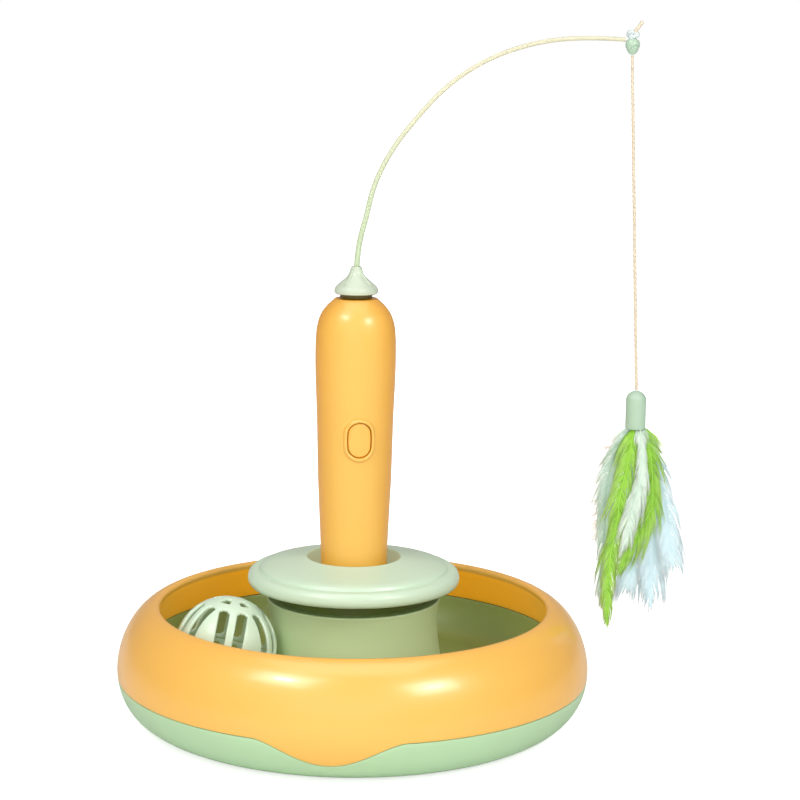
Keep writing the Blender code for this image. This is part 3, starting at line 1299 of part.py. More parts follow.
def make_bell(empty):
    """Small jingle bell, loose in the ball, with a round sound hole underneath."""
    centre = ball_centre()
    low = centre.z - BALL_RADIUS + BALL_WALL + BELL_PLAY
    middle = low + BELL_RADIUS
    inner = BELL_RADIUS - BELL_WALL
    start = math.asin(BELL_MOUTH / BELL_RADIUS)
    profile = [(0, middle + BELL_RADIUS)]
    profile += [(BELL_RADIUS * math.sin(turn), middle - BELL_RADIUS * math.cos(turn))
                for turn in spread(math.pi, start, 7)[1:]]
    profile += [(inner * math.sin(turn), middle - inner * math.cos(turn))
                for turn in spread(start, math.pi, 6)[:-1]]
    profile.append((0, middle + inner))
    return ride(turned("bell", profile, BRASS, 12, (centre.x, centre.y)), empty)


def main():
    clear_scene()
    rotor = axis_empty("rotor_axis", (0, 0, CAP_BOTTOM))
    compound = axis_empty("compound_axis", (GEAR_CENTRE, 0, PINION_BOTTOM))
    motor = axis_empty("motor_axis", (0, 0, PINION_BOTTOM))
    button = axis_empty("button_axis", (0, -button_front(), BUTTON_HEIGHT))
    plunger = axis_empty("plunger_axis", (0, -flange_back(), BUTTON_HEIGHT))
    door = axis_empty("door_axis", (0, wand_radius(DOOR_BOTTOM), DOOR_BOTTOM))
    stub = axis_empty("string_top_axis", string_point(STRING_RADIUS))
    string = axis_empty("string_axis", string_point(STRING_STUB + GAP + STRING_RADIUS))
    pendant = axis_empty("pendant_axis", string_point(STRING_LENGTH - STRING_RADIUS))
    orbit = axis_empty("orbit_axis", (0, 0, FLOOR_HEIGHT))
    roll = axis_empty("roll_axis", ball_centre())

    make_ring_cover()
    make_tray()
    make_bottom_cover()
    make_feet_and_screws()
    make_holder_disc()
    make_front_shell()
    make_rear_shell()
    make_wand_screws()
    make_door(door)
    make_door_screw(door)
    make_button(button)
    make_switch(plunger)
    make_cells()
    make_motor(motor)
    make_gearbox(compound, rotor)
    make_wires()
    make_rotor_cap(rotor)
    make_arm(rotor)
    make_knot(rotor)
    make_string(stub, string)
    make_ferrule(pendant)
    for entry in FEATHERS:
        make_feather(entry, pendant)
    make_bell(orbit)
    make_ball_half("ball_upper_half", 1, roll)
    make_ball_half("ball_lower_half", -1, roll)


main()
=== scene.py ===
# %% [markdown]
# # Rotating feather cat toy
# A round base carries a lattice ball in a ring channel. A battery wand stands in the middle,
# and a motor in it turns a bent arm that trails feathers on a string. The measured solids come
# first, as a fixed frame. Every piece made here sits where its solid is and moves with it.

# %% Load the fixed frame
import bmesh
import bpy
import math
import random
from mathutils import Matrix, Vector


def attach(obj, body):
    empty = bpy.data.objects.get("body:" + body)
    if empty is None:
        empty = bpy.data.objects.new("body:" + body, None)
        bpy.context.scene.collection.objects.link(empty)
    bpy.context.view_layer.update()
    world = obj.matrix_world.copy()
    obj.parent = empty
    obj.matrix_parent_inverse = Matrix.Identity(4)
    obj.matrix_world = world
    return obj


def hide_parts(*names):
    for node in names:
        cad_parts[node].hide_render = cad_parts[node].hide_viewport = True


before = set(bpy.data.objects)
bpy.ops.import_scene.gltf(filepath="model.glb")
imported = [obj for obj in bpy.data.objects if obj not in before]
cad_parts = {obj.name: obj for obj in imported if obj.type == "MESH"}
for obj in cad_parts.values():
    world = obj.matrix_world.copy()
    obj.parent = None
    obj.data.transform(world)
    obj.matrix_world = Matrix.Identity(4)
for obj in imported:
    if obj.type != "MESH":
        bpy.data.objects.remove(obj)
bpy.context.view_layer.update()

# %% [markdown]
# ## Camera
# The photograph looks slightly down on the toy from the side of the button, through a long
# lens. A camera can be framed by eye, but its place here was worked out from the ellipses of
# the base, so the modelled and the real outlines fall on each other.

# %% Camera
CAMERA_PLACE = (-0.12187, -0.99255, 0.3238)
CAMERA_LENS, CAMERA_HEADING, CAMERA_DIP, CAMERA_ROLL = 99.17, -8.18, 9.89, 0.0125


def make_camera():
    look = bpy.data.cameras.new("photo camera")
    look.lens, look.sensor_width = CAMERA_LENS, 36.0
    camera = bpy.data.objects.new("photo camera", look)
    bpy.context.scene.collection.objects.link(camera)
    heading = Matrix.Rotation(math.radians(CAMERA_HEADING), 3, "Z")
    pitch = Matrix.Rotation(math.radians(90 - CAMERA_DIP), 3, "X")
    roll = Matrix.Rotation(CAMERA_ROLL, 3, "Z")
    camera.rotation_euler = (heading @ pitch @ roll).to_euler()
    camera.location = CAMERA_PLACE
    bpy.context.scene.camera = camera


make_camera()
print("Camera at", CAMERA_PLACE)

# %% [markdown]
# ## Working by hand in a script
# An operator acts on all that is selected, so nothing may be left selected from the step
# before. These small helpers do what a hand does between two operators: let go of everything,
# take one piece into edit mode, and fix a new primitive's place in its mesh.

# %% Selection helpers
def release():
    active = bpy.context.view_layer.objects.active
    if active is not None and active.mode == "EDIT":
        bpy.ops.object.mode_set(mode="OBJECT")
    bpy.ops.object.select_all(action="DESELECT")


def take(piece):
    release()
    piece.select_set(True)
    bpy.context.view_layer.objects.active = piece


def edit(piece, action="SELECT"):
    take(piece)
    bpy.ops.object.mode_set(mode="EDIT")
    bpy.ops.mesh.select_all(action=action)


def fix_place(piece):
    """Move the piece's place, turn and size into its mesh."""
    take(piece)
    bpy.ops.object.transform_apply(location=True, rotation=True, scale=True)
    return piece


def settle(name):
    """Name the new primitive and fix its place."""
    piece = bpy.context.view_layer.objects.active
    piece.name = piece.data.name = name
    return fix_place(piece)


def add_piece(name, data):
    piece = bpy.data.objects.new(name, data)
    bpy.context.scene.collection.objects.link(piece)
    return piece


def spread(start, end, count):
    return [start + (end - start) * index / (count - 1) for index in range(count)]


def smooth_line(points, count):
    """Even points on a Catmull-Rom curve through the given points."""
    points = [Vector(point) for point in points]
    padded = [2 * points[0] - points[1]] + points + [2 * points[-1] - points[-2]]
    line = []
    for index in range(count):
        place = index / (count - 1) * (len(points) - 1)
        span = min(int(place), len(points) - 2)
        t = place - span
        a, b, c, d = padded[span:span + 4]
        line.append(0.5 * (2 * b + (c - a) * t + (2 * a - 5 * b + 4 * c - d) * t ** 2
                           + (3 * b - a - 3 * c + d) * t ** 3))
    return line


def smooth_pairs(pairs, count):
    return [(point.x, point.y) for point in smooth_line([(*pair, 0) for pair in pairs], count)]


def skin_radius(skin, height):
    """Radius of a turned skin, a list of (radius, height), at a height."""
    for (low_radius, low), (high_radius, high) in zip(skin, skin[1:]):
        if low <= height <= high:
            return low_radius + (high_radius - low_radius) * (height - low) / (high - low)
    return skin[0][0] if height < skin[0][1] else skin[-1][0]


print("Selection helpers ready")

# %% [markdown]
# ## Turned pieces
# The base, the wand and most small pieces are round. A lathe would turn them from a profile.
# Here a circle is extruded and resized from stop to stop of that profile, which is how such a
# form is drawn up by hand. A closed hollow section ends by bridging its last ring to its first.

# %% Turning helpers
def new_circle(name, radius, steps, place, filled=True, lying=False):
    release()
    bpy.ops.mesh.primitive_circle_add(vertices=steps, radius=radius, fill_type="NGON" if filled else "NOTHING",
                                      location=place, rotation=(math.pi / 2 if lying else 0, 0, 0))
    return settle(name)


def extrude(move):
    bpy.ops.mesh.extrude_region_move(TRANSFORM_OT_translate={"value": move})


def resize(share, centre):
    bpy.ops.transform.resize(value=(share, share, 1), center_override=centre)


def bridge_ends():
    """Join the two open rings of the mesh in edit mode."""
    bpy.ops.mesh.select_all(action="DESELECT")
    bpy.ops.mesh.select_mode(type="EDGE")
    bpy.ops.mesh.select_non_manifold()
    bpy.ops.mesh.bridge_edge_loops()
    bpy.ops.mesh.select_mode(type="VERT")


def close_up(piece):
    edit(piece)
    bpy.ops.mesh.normals_make_consistent(inside=False)
    bpy.ops.object.mode_set(mode="OBJECT")
    return piece


def turned(name, profile, steps, centre=(0, 0), filled=True):
    """Extrude and resize a ring from each (radius, height) pair of the profile to the next."""
    piece = new_circle(name, profile[0][0], steps, (*centre, profile[0][1]), filled)
    edit(piece)
    for (radius, height), (next_radius, next_height) in zip(profile, profile[1:]):
        extrude((0, 0, next_height - height))
        resize(next_radius / radius, (*centre, next_height))
    if not filled:
        bridge_ends()
    return close_up(piece)


def turned_band(name, profile, steps, centre=(0, 0)):
    """Closed ring: the profile comes back to its start."""
    return turned(name, profile, steps, centre, filled=False)


def apply_modifiers(piece):
    take(piece)
    for modifier in list(piece.modifiers):
        bpy.ops.object.modifier_apply(modifier=modifier.name)


def round_corners(piece, width, corner=30):
    bevel = piece.modifiers.new("rounded corners", "BEVEL")
    bevel.width = width
    bevel.segments = 2
    bevel.limit_method = "ANGLE"
    bevel.angle_limit = math.radians(corner)
    apply_modifiers(piece)
    return piece


def smooth(piece, angle=35):
    take(piece)
    bpy.ops.object.shade_smooth_by_angle(angle=math.radians(angle))
    return piece


def carve(piece, *tools, operation="DIFFERENCE"):
    """Cut the tools out of the piece, or join them to it, and throw the tools away."""
    for tool in tools:
        boolean = piece.modifiers.new("carve", "BOOLEAN")
        boolean.operation = operation
        boolean.solver = "EXACT"
        boolean.object = tool
        apply_modifiers(piece)
        bpy.data.objects.remove(tool)
    return piece


print("Turning helpers ready")

# %% [markdown]
# ## Surface effects
# Real moulded plastic is never one flat colour. It has a fine grain from the mould, a faint
# drift of tone where it cooled, and duller patches where hands and paws have rubbed it. Each
# effect is a node group with named inputs, built once and used with its own values.

# %% Node helpers and the shared effects
def fill(tree, node, inputs):
    """Link or set a node's inputs, each by its name or number; a colour has three numbers."""
    for key, value in inputs.items():
        socket = node.inputs[key]
        if isinstance(value, bpy.types.NodeSocket):
            tree.links.new(value, socket)
        else:
            socket.default_value = (*value, 1) if socket.type == "RGBA" else value
    return node


def add_node(tree, kind, inputs, **settings):
    """Outputs of a new node, with its settings and inputs filled in."""
    made = tree.nodes.new(kind)
    for key, value in settings.items():
        setattr(made, key, value)
    return fill(tree, made, inputs).outputs


def object_place(tree):
    return add_node(tree, "ShaderNodeTexCoord", {})["Object"]


def noise(tree, place, scale, detail=2.0):
    return add_node(tree, "ShaderNodeTexNoise", {"Vector": place, "Scale": scale, "Detail": detail})[0]


def calc(tree, operation, *values, **settings):
    return add_node(tree, "ShaderNodeMath", dict(enumerate(values)), operation=operation, **settings)[0]


def mix(tree, share, first, second):
    return add_node(tree, "ShaderNodeMix", {0: share, 6: first, 7: second}, data_type="RGBA")[2]


def remap(tree, value, low, high, start=0.0, end=1.0, **settings):
    """Value moved from the range low to high into the range start to end, and held inside it."""
    return add_node(tree, "ShaderNodeMapRange", {0: value, 1: low, 2: high, 3: start, 4: end}, **settings)[0]


def new_effect(name, inputs):
    """Empty node group with named inputs: a colour where three numbers are given, else a value."""
    group = bpy.data.node_groups.new(name, "ShaderNodeTree")
    for label, value in inputs.items():
        colour = isinstance(value, tuple)
        made = group.interface.new_socket(label, in_out="INPUT",
                                          socket_type="NodeSocketColor" if colour else "NodeSocketFloat")
        made.default_value = (*value, 1) if colour else value
    return group, group.nodes.new("NodeGroupInput").outputs


def give_out(group, label, result):
    """Name the effect's one output and link the result to it."""
    kind = "NodeSocketColor" if result.type == "RGBA" else "NodeSocketFloat"
    group.interface.new_socket(label, in_out="OUTPUT", socket_type=kind)
    group.links.new(result, group.nodes.new("NodeGroupOutput").inputs[label])
    return group


def use_effect(tree, effect, inputs):
    return add_node(tree, "ShaderNodeGroup", inputs, node_tree=effect)[0]


def make_mould_grain():
    """Height of the fine grain that a mould leaves, with a slow waviness under it."""
    group, given = new_effect("mould grain", {"Grain Scale": 1800, "Wave": 0.5})
    place = object_place(group)
    wave = calc(group, "MULTIPLY", noise(group, place, 55.0, 1.0), given["Wave"])
    return give_out(group, "Height", calc(group, "ADD", noise(group, place, given["Grain Scale"]), wave))


def make_tone_drift():
    """Colour that drifts a little lighter and darker over the piece."""
    group, given = new_effect("tone drift", {"Color": (0.8, 0.8, 0.8), "Shade": (0.7, 0.7, 0.7), "Drift": 0.3,
                                             "Scale": 14})
    place = object_place(group)
    both = calc(group, "MULTIPLY_ADD", noise(group, place, 420.0), 0.25, noise(group, place, given["Scale"], 3.0))
    share = calc(group, "MULTIPLY", both, given["Drift"])
    return give_out(group, "Color", mix(group, share, given["Color"], given["Shade"]))


def make_handling_wear():
    """Roughness that rises in soft patches where the piece has been rubbed."""
    group, given = new_effect("handling wear", {"Roughness": 0.3, "Wear": 0.1})
    patch = remap(group, noise(group, object_place(group), 26.0, 1.0), 0.35, 0.8)
    return give_out(group, "Roughness", calc(group, "MULTIPLY_ADD", patch, given["Wear"], given["Roughness"]))


# In this script each use of the band mask paints shade or bounce light into a colour.
def make_band_mask():
    """One inside a radius round the wand's axis and between two heights, with soft edges."""
    group, given = new_effect("band mask", {"Radius": 0.1, "Low": 0.0, "High": 0.1, "Soft": 0.001})
    parts = add_node(group, "ShaderNodeSeparateXYZ", {0: object_place(group)})
    square = calc(group, "MULTIPLY", parts["X"], parts["X"])
    radius = calc(group, "SQRT", calc(group, "MULTIPLY_ADD", parts["Y"], parts["Y"], square))
    mask = 1.0
    for larger, smaller in ((given["Radius"], radius), (parts["Z"], given["Low"]), (given["High"], parts["Z"])):
        gap = calc(group, "SUBTRACT", larger, smaller)
        mask = calc(group, "MULTIPLY", mask, calc(group, "DIVIDE", gap, given["Soft"], use_clamp=True))
    return give_out(group, "Mask", mask)


MOULD_GRAIN, TONE_DRIFT = make_mould_grain(), make_tone_drift()
HANDLING_WEAR, BAND_MASK = make_handling_wear(), make_band_mask()
print("Effects:", ", ".join(group.name for group in bpy.data.node_groups))

# %% [markdown]
# ## Materials
# Each finish starts from the Principled shader. The effects feed its colour, roughness and
# bump. Numbers that are the same all over stay on the shader's own sockets.

# %% Material helpers
def new_finish(name):
    finish = bpy.data.materials.new(name)
    finish.use_nodes = True
    return finish, finish.node_tree, finish.node_tree.nodes["Principled BSDF"]


def rub(tree, roughness, wear):
    return use_effect(tree, HANDLING_WEAR, {"Roughness": roughness, "Wear": wear})


def emboss(tree, height, depth):
    return add_node(tree, "ShaderNodeBump", {"Height": height, "Strength": 1.0, "Distance": depth})[0]


def moulded_plastic(name, colour, shade, roughness, drift=0.3, wear=0.08, depth=0.000012, grain=1800,
                    painted_light_and_shade_bands=(), coat=0.0, edge=None, glow=None):
    """Satin moulded plastic; shade is the tone that the colour drifts towards.

    Each band is (radius, low, high, soft, colour): the surface inside it takes that colour as
    painted shade or painted bounce light, and a glow colour is painted light, an emission that stands
    for the light thrown about in the last band. An edge colour is painted shade that deepens the
    sides of round pieces that turn away.
    """
    finish, tree, shader = new_finish(name)
    tone = use_effect(tree, TONE_DRIFT, {"Color": colour, "Shade": shade, "Drift": drift})
    # Each band lays painted shade or painted bounce light over the tone.
    for radius, low, high, soft, inside in painted_light_and_shade_bands:
        mask = use_effect(tree, BAND_MASK, {"Radius": radius, "Low": low, "High": high, "Soft": soft})
        tone = mix(tree, mask, tone, inside)
    # The glow is painted light: an emission inside the last band's mask.
    if glow:
        fill(tree, shader, {"Emission Color": mix(tree, mask, (0, 0, 0), glow), "Emission Strength": 1.0})
    # The edge colour is painted shade on the sides that turn away.
    if edge:
        facing = add_node(tree, "ShaderNodeLayerWeight", {"Blend": 0.5})["Facing"]
        tone = mix(tree, remap(tree, facing, 0.12, 0.8), tone, edge)
    height = use_effect(tree, MOULD_GRAIN, {"Grain Scale": grain})
    fill(tree, shader, {"Base Color": tone, "Roughness": rub(tree, roughness, wear), "Coat Weight": coat,
                        "Coat Roughness": 0.12, "Normal": emboss(tree, height, depth)})
    return finish


def dress(piece, body, slot, finish, *nodes):
    """Give a finished piece its material and its body, and hide the solids that it stands for."""
    piece.data.materials.clear()
    piece.data.materials.append(finish)
    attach(piece, body)
    if nodes:
        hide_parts(*nodes)
    print(f"{piece.name}: {len(piece.data.polygons)} faces, rides {body}")
    return piece


print("Material helpers ready")

# %% [markdown]
# ## String
# The feathers hang on a cream cotton string of about 1.7 mm, laid from three strands. A plain
# tube would look like wire. A circle is pinched into a clover of three lobes, and the Screw
# modifier twists it along its length, which gives the strands their slant.

# %% String material
def make_cream_cotton():
    """Cotton whose fine fibres run across the strands."""
    finish, tree, shader = new_finish("cream cotton")
    place = object_place(tree)
    fibre = noise(tree, place, 2600.0, 3.0)
    strands = mix(tree, fibre, (0.75, 0.64, 0.49), (0.60, 0.47, 0.33))
    tint = mix(tree, noise(tree, place, 160.0), strands, (0.79, 0.71, 0.56))
    fill(tree, shader, {"Base Color": tint, "Roughness": 0.85, "Normal": emboss(tree, fibre, 0.00012)})
    return finish


CREAM_COTTON = make_cream_cotton()
print("Finish:", CREAM_COTTON.name)

# %% String shape
STRING_RADIUS, STRING_LEAN = 0.00085, math.radians(2.5)
STRING_TOP = Vector((0.1259, 0, 0.3074))
STRING_DOWN = Vector((math.sin(STRING_LEAN), 0, -math.cos(STRING_LEAN)))
STRING_JOIN, STRING_START, STRING_END = 0.0062, 0.0063, 0.1552
LAY_LENGTH, TWIST_STEP = 0.0075, 0.0004


def down_string(distance):
    return STRING_TOP + STRING_DOWN * distance


def laid_string(name, start, end):
    """Three laid strands between two distances down the string, with domed ends."""
    dome = 0.12 * STRING_RADIUS
    length = end - start - 2 * dome
    piece = new_circle(name, STRING_RADIUS, 24, (0, 0, 0), filled=False)
    for vertex in piece.data.vertices:
        vertex.co *= 0.89 + 0.11 * math.cos(3 * math.atan2(vertex.co.y, vertex.co.x))
    twist = piece.modifiers.new("laid strands", "SCREW")
    twist.axis = "Z"
    twist.angle = 2 * math.pi * length / LAY_LENGTH
    twist.screw_offset = length
    twist.steps = twist.render_steps = max(12, round(length / TWIST_STEP))
    twist.use_merge_vertices = False
    apply_modifiers(piece)
    for height, way in ((0, -1), (length, 1)):
        edit(piece, "DESELECT")
        bpy.ops.object.mode_set(mode="OBJECT")
        for vertex in piece.data.vertices:
            vertex.select = abs(vertex.co.z - height) < 1e-6
        bpy.ops.object.mode_set(mode="EDIT")
        radius, level = 1.0, 0.0
        for turn in (30, 60, 80):
            lift = dome * math.sin(math.radians(turn)) - level
            share = math.cos(math.radians(turn)) / radius
            extrude((0, 0, way * lift))
            level += lift
            resize(share, (0, 0, height + way * level))
            radius *= share
        bpy.ops.mesh.edge_face_add()
    close_up(piece)
    piece.rotation_euler = (0, -STRING_LEAN, 0)
    piece.location = down_string(end - dome)
    return smooth(fix_place(piece), 60)


string_top = dress(laid_string("string_top_piece", 0, STRING_JOIN), "string_stub", "cream_string",
                   CREAM_COTTON, "string_top")
string = dress(laid_string("string_piece", STRING_JOIN, STRING_END), "string_long", "cream_string",
               CREAM_COTTON, "string")
print("String length, mm:", round(1000 * (STRING_END - STRING_START), 1))

# %% [markdown]
# ## Light and floor
# The toy was photographed in a white studio with one soft lamp at each side in front, which
# show as two patches of gloss on the yellow ring, each with a bright middle. A broad low fill
# from the front lights the inner wall and leaves the channel dark, a sheen from overhead lies
# on the top of the ring, and a lamp behind keeps the back from going dark. The world is white
# to the camera alone, and a dim grey for everything else. The floor is a pale sheet that keeps
# the toy's soft shadow, and glows more with the distance until no horizon is left.
# The inner wall's deep orange and the channel's dark are also helped by painted bounce light and painted shade in
# the plastics below.

# %% Lamps, world and floor
LAMP_DISTANCE, LAMP_AIM = 1.2, Vector((0, 0, 0.06))
AMBIENT = 0.36
GLOW_START, GLOW_END, FLOOR_GLOW, FAR_GLOW = 0.13, 0.45, 0.66, 1.05


def soft_lamp(name, azimuth, elevation, width, height, power, colour, gloss=True, fill=True):
    """Rectangular lamp, placed by its direction from the wand, counted from the camera.

    Without gloss it doesn't show in reflections, and without fill it shows in them alone.
    """
    turn = math.radians(-97.0 + azimuth)
    lift = math.radians(elevation)
    away = Vector((math.cos(lift) * math.cos(turn), math.cos(lift) * math.sin(turn), math.sin(lift)))
    lamp = bpy.data.lights.new(name, "AREA")
    lamp.shape = "RECTANGLE"
    lamp.size, lamp.size_y = width, height
    lamp.energy = power
    lamp.color = colour
    holder = add_piece(name, lamp)
    holder.location = LAMP_AIM + away * LAMP_DISTANCE
    holder.rotation_euler = away.to_track_quat("Z", "Y").to_euler()
    holder.visible_glossy = gloss
    holder.visible_diffuse = fill


def seen_by_camera(tree):
    return add_node(tree, "ShaderNodeLightPath", {})["Is Camera Ray"]


def make_world():
    """White where the camera sees it, and a dim grey light for all else."""
    world = bpy.data.worlds.new("white studio")
    bpy.context.scene.world = world
    world.use_nodes = True
    tree = world.node_tree
    tree.nodes.clear()
    strength = remap(tree, seen_by_camera(tree), 0.0, 1.0, AMBIENT, 1.0)
    light = add_node(tree, "ShaderNodeBackground", {"Color": (1, 1, 1), "Strength": strength})[0]
    tree.links.new(light, tree.nodes.new("ShaderNodeOutputWorld").inputs["Surface"])


def make_floor():
    """Pale sheet that glows for the camera, more with the distance, so that it ends in pure white."""
    floor = new_circle("studio_floor", 20, 64, (0, 0, -0.0002))
    finish, tree, shader = new_finish("pale paper")
    away = add_node(tree, "ShaderNodeVectorMath", {0: object_place(tree)}, operation="LENGTH")["Value"]
    far = remap(tree, away, GLOW_START, GLOW_END, FLOOR_GLOW, FAR_GLOW)
    strength = calc(tree, "MULTIPLY", seen_by_camera(tree), far)
    paper = add_node(tree, "ShaderNodeBsdfDiffuse", {"Color": (0.86, 0.86, 0.86)})[0]
    glow = add_node(tree, "ShaderNodeEmission", {"Color": (1, 1, 1), "Strength": strength})[0]
    both = add_node(tree, "ShaderNodeAddShader", {0: paper, 1: glow})[0]
    tree.links.new(both, tree.nodes["Material Output"].inputs["Surface"])
    tree.nodes.remove(shader)
    floor.data.materials.append(finish)


soft_lamp("left lamp", -43, 50, 0.55, 0.40, 4.1, (1.0, 0.985, 0.96))
soft_lamp("right lamp", 44, 38, 0.45, 0.36, 4.0, (1.0, 0.99, 0.97))
soft_lamp("left lamp's bright middle", -43, 50, 0.18, 0.10, 3.0, (1, 1, 1), fill=False)
soft_lamp("right lamp's bright middle", 44, 38, 0.18, 0.10, 2.9, (1, 1, 1), fill=False)
soft_lamp("overhead sheen", 0, 88, 1.0, 0.8, 5.5, (1, 1, 1), fill=False)
soft_lamp("low front fill", -6, 18, 1.2, 0.6, 6.3, (1.0, 0.985, 0.95), gloss=False)
soft_lamp("back fill", 176, 42, 1.3, 0.7, 3.2, (1.0, 0.99, 0.97), gloss=False)
make_world()
make_floor()
bpy.context.scene.view_settings.view_transform = "Standard"

# %% [markdown]
# ## Yellow and mint plastic
# The two main colours are a warm apricot yellow and a pale mint, both moulded with a satin
# gloss. Their roughness decides how soft the two lamp patches look.

# %% Main plastics
# Painted bounce light: a deeper orange on the ring's inner wall, brightened by the painted glow on the yellow
# plastic.
RING_WALL_PAINTED_BOUNCE = (0.0976, 0.030, 0.0502, 0.0006, (1.0, 0.44, 0.01))
# Painted shade: dark olive over the ball's channel inside the ring.
CHANNEL_PAINTED_SHADE = (0.0985, 0.0148, 0.0560, 0.0008, (0.27, 0.365, 0.11))
# Painted bounce light: a warmer, lighter mint on the drum's side, as if lit by the yellow ring.
DRUM_SIDE_PAINTED_BOUNCE = (0.0485, 0.0160, 0.0580, 0.0012, (0.56, 0.71, 0.41))
# Painted shade: near black in the recess under the holder disc.
RECESS_PAINTED_SHADE = (0.0405, 0.0563, 0.0645, 0.0003, (0.08, 0.125, 0.004))
# Painted shade: a dark band on the cap's neck, in the gap under its flange.
NECK_PAINTED_SHADE = (0.02, 0.180, 0.1990, 0.0003, (0.10, 0.09, 0.02))
# The yellow's glow is painted light on the ring's inner wall, and its edge colour is painted shade on sides that
# turn away.
YELLOW = moulded_plastic("apricot yellow plastic", (0.92, 0.53, 0.11), (0.88, 0.48, 0.085), 0.30, wear=0.03,
                         painted_light_and_shade_bands=(RING_WALL_PAINTED_BOUNCE,), coat=0.35, edge=(0.96, 0.48, 0.06), glow=(0.27, 0.10, 0))
# The edge colour is painted shade on the wand's sides that turn away.
WAND_YELLOW = moulded_plastic("wand yellow plastic", (0.90, 0.52, 0.10), (0.86, 0.46, 0.08), 0.36, wear=0.03,
                              coat=0.2, edge=(0.88, 0.38, 0.015))
MINT = moulded_plastic("pale mint plastic", (0.47, 0.69, 0.42), (0.42, 0.64, 0.37), 0.32, wear=0.03)
# The tray's bands are painted shade in the channel and recess, and painted bounce light on the drum.
TRAY_MINT = moulded_plastic("tray mint plastic", (0.47, 0.69, 0.42), (0.42, 0.64, 0.37), 0.34, wear=0.03,
                            painted_light_and_shade_bands=(CHANNEL_PAINTED_SHADE, DRUM_SIDE_PAINTED_BOUNCE, RECESS_PAINTED_SHADE))
PALE_MINT = moulded_plastic("whitish mint plastic", (0.63, 0.79, 0.60), (0.57, 0.74, 0.54), 0.30, wear=0.03)
# The cap's neck band is painted shade.
CAP_MINT = moulded_plastic("cap mint plastic", (0.60, 0.68, 0.54), (0.54, 0.63, 0.48), 0.32, wear=0.03,
                           painted_light_and_shade_bands=(NECK_PAINTED_SHADE,))
SOFT_MINT = moulded_plastic("soft mint plastic", (0.45, 0.62, 0.47), (0.40, 0.57, 0.42), 0.36, wear=0.03)
IVORY = moulded_plastic("mint white plastic", (0.67, 0.83, 0.65), (0.61, 0.78, 0.59), 0.34, wear=0.03)
print("Plastics:", ", ".join(finish.name for finish in bpy.data.materials if "plastic" in finish.name))

# %% [markdown]
# ## Ring cover
# The cover is a round, hollow ring like a ring doughnut, and at the front its lower edge runs
# down in one drop, like icing. It is turned first with a plain edge, then each column of its
# mesh is moved onto the section for its own angle, so the drop stays on the curved skin.

# %% Base outline, the drip and the cover
BASE_RADIUS, WIDEST_HEIGHT, FOOT_RADIUS = 0.110, 0.0243, 0.0876
CREST_RADIUS, CREST_HEIGHT = 0.0905, 0.0534
LOWER_POWER, UPPER_POWER = 2.18, 1.8
SEAM_HEIGHT, DRIP_DEPTH, DRIP_ANGLE, DRIP_SPREAD, DRIP_POWER = 0.0206, 0.0108, -102.4, 17.6, 0.8
COVER_WALL, SEAM_GAP, RING_STEPS, EDGE_ROUNDING = 0.0018, 0.0003, 384, 0.0004
LEDGE_RADIUS, LEDGE_HEIGHT, DECK_HEIGHT, STAND_HEIGHT = 0.0970, 0.0340, 0.0216, 0.0006


def ring_outline(turn):
    """Point of the base's skin at -90 (foot), 0 (widest) to 90 degrees (crest)."""
    if turn < 0:
        angle = math.radians(90 + turn)
        radius = FOOT_RADIUS + (BASE_RADIUS - FOOT_RADIUS) * math.sin(angle) ** (2 / LOWER_POWER)
        return radius, WIDEST_HEIGHT * (1 - math.cos(angle) ** (2 / LOWER_POWER))
    angle = math.radians(turn)
    radius = CREST_RADIUS + (BASE_RADIUS - CREST_RADIUS) * math.cos(angle) ** (2 / UPPER_POWER)
    return radius, WIDEST_HEIGHT + (CREST_HEIGHT - WIDEST_HEIGHT) * math.sin(angle) ** (2 / UPPER_POWER)


def turn_at(height):
    if height < WIDEST_HEIGHT:
        return math.degrees(math.acos((1 - height / WIDEST_HEIGHT) ** (LOWER_POWER / 2))) - 90
    share = ((height - WIDEST_HEIGHT) / (CREST_HEIGHT - WIDEST_HEIGHT)) ** (UPPER_POWER / 2)
    return math.degrees(math.asin(share))


def inside_skin(turn, depth):
    """Point at a depth under the base's skin, square to it."""
    low = Vector(ring_outline(max(turn - 1, -89)))
    high = Vector(ring_outline(min(turn + 1, 89)))
    along = (high - low).normalized()
    place = Vector(ring_outline(turn)) + Vector((-along.y, along.x)) * depth
    return place.x, place.y


def drip_edge(angle):
    """Height of the cover's lower edge at an angle in degrees round the base."""
    share = abs((angle - DRIP_ANGLE + 180) % 360 - 180) / DRIP_SPREAD
    if share >= 1:
        return SEAM_HEIGHT
    return SEAM_HEIGHT - DRIP_DEPTH * ((1 + math.cos(math.pi * share)) / 2) ** DRIP_POWER


def follow_drip(piece, section):
    """Move each column near the drip onto the section that its own edge height gives."""
    plain = section(SEAM_HEIGHT)
    moved = 0
    for vertex in piece.data.vertices:
        edge = drip_edge(math.degrees(math.atan2(vertex.co.y, vertex.co.x)))
        if edge == SEAM_HEIGHT:
            continue
        radius = math.hypot(vertex.co.x, vertex.co.y)
        miss = [abs(row[0] - radius) + abs(row[1] - vertex.co.z) for row in plain]
        new_radius, new_height = section(edge)[miss.index(min(miss))]
        vertex.co = (vertex.co.x * new_radius / radius, vertex.co.y * new_radius / radius, new_height)
        moved += 1
    print(f"{piece.name}: {moved} vertices follow the drip")


def lap_turns(edge):
    return spread(turn_at(edge), turn_at(DECK_HEIGHT), 4)


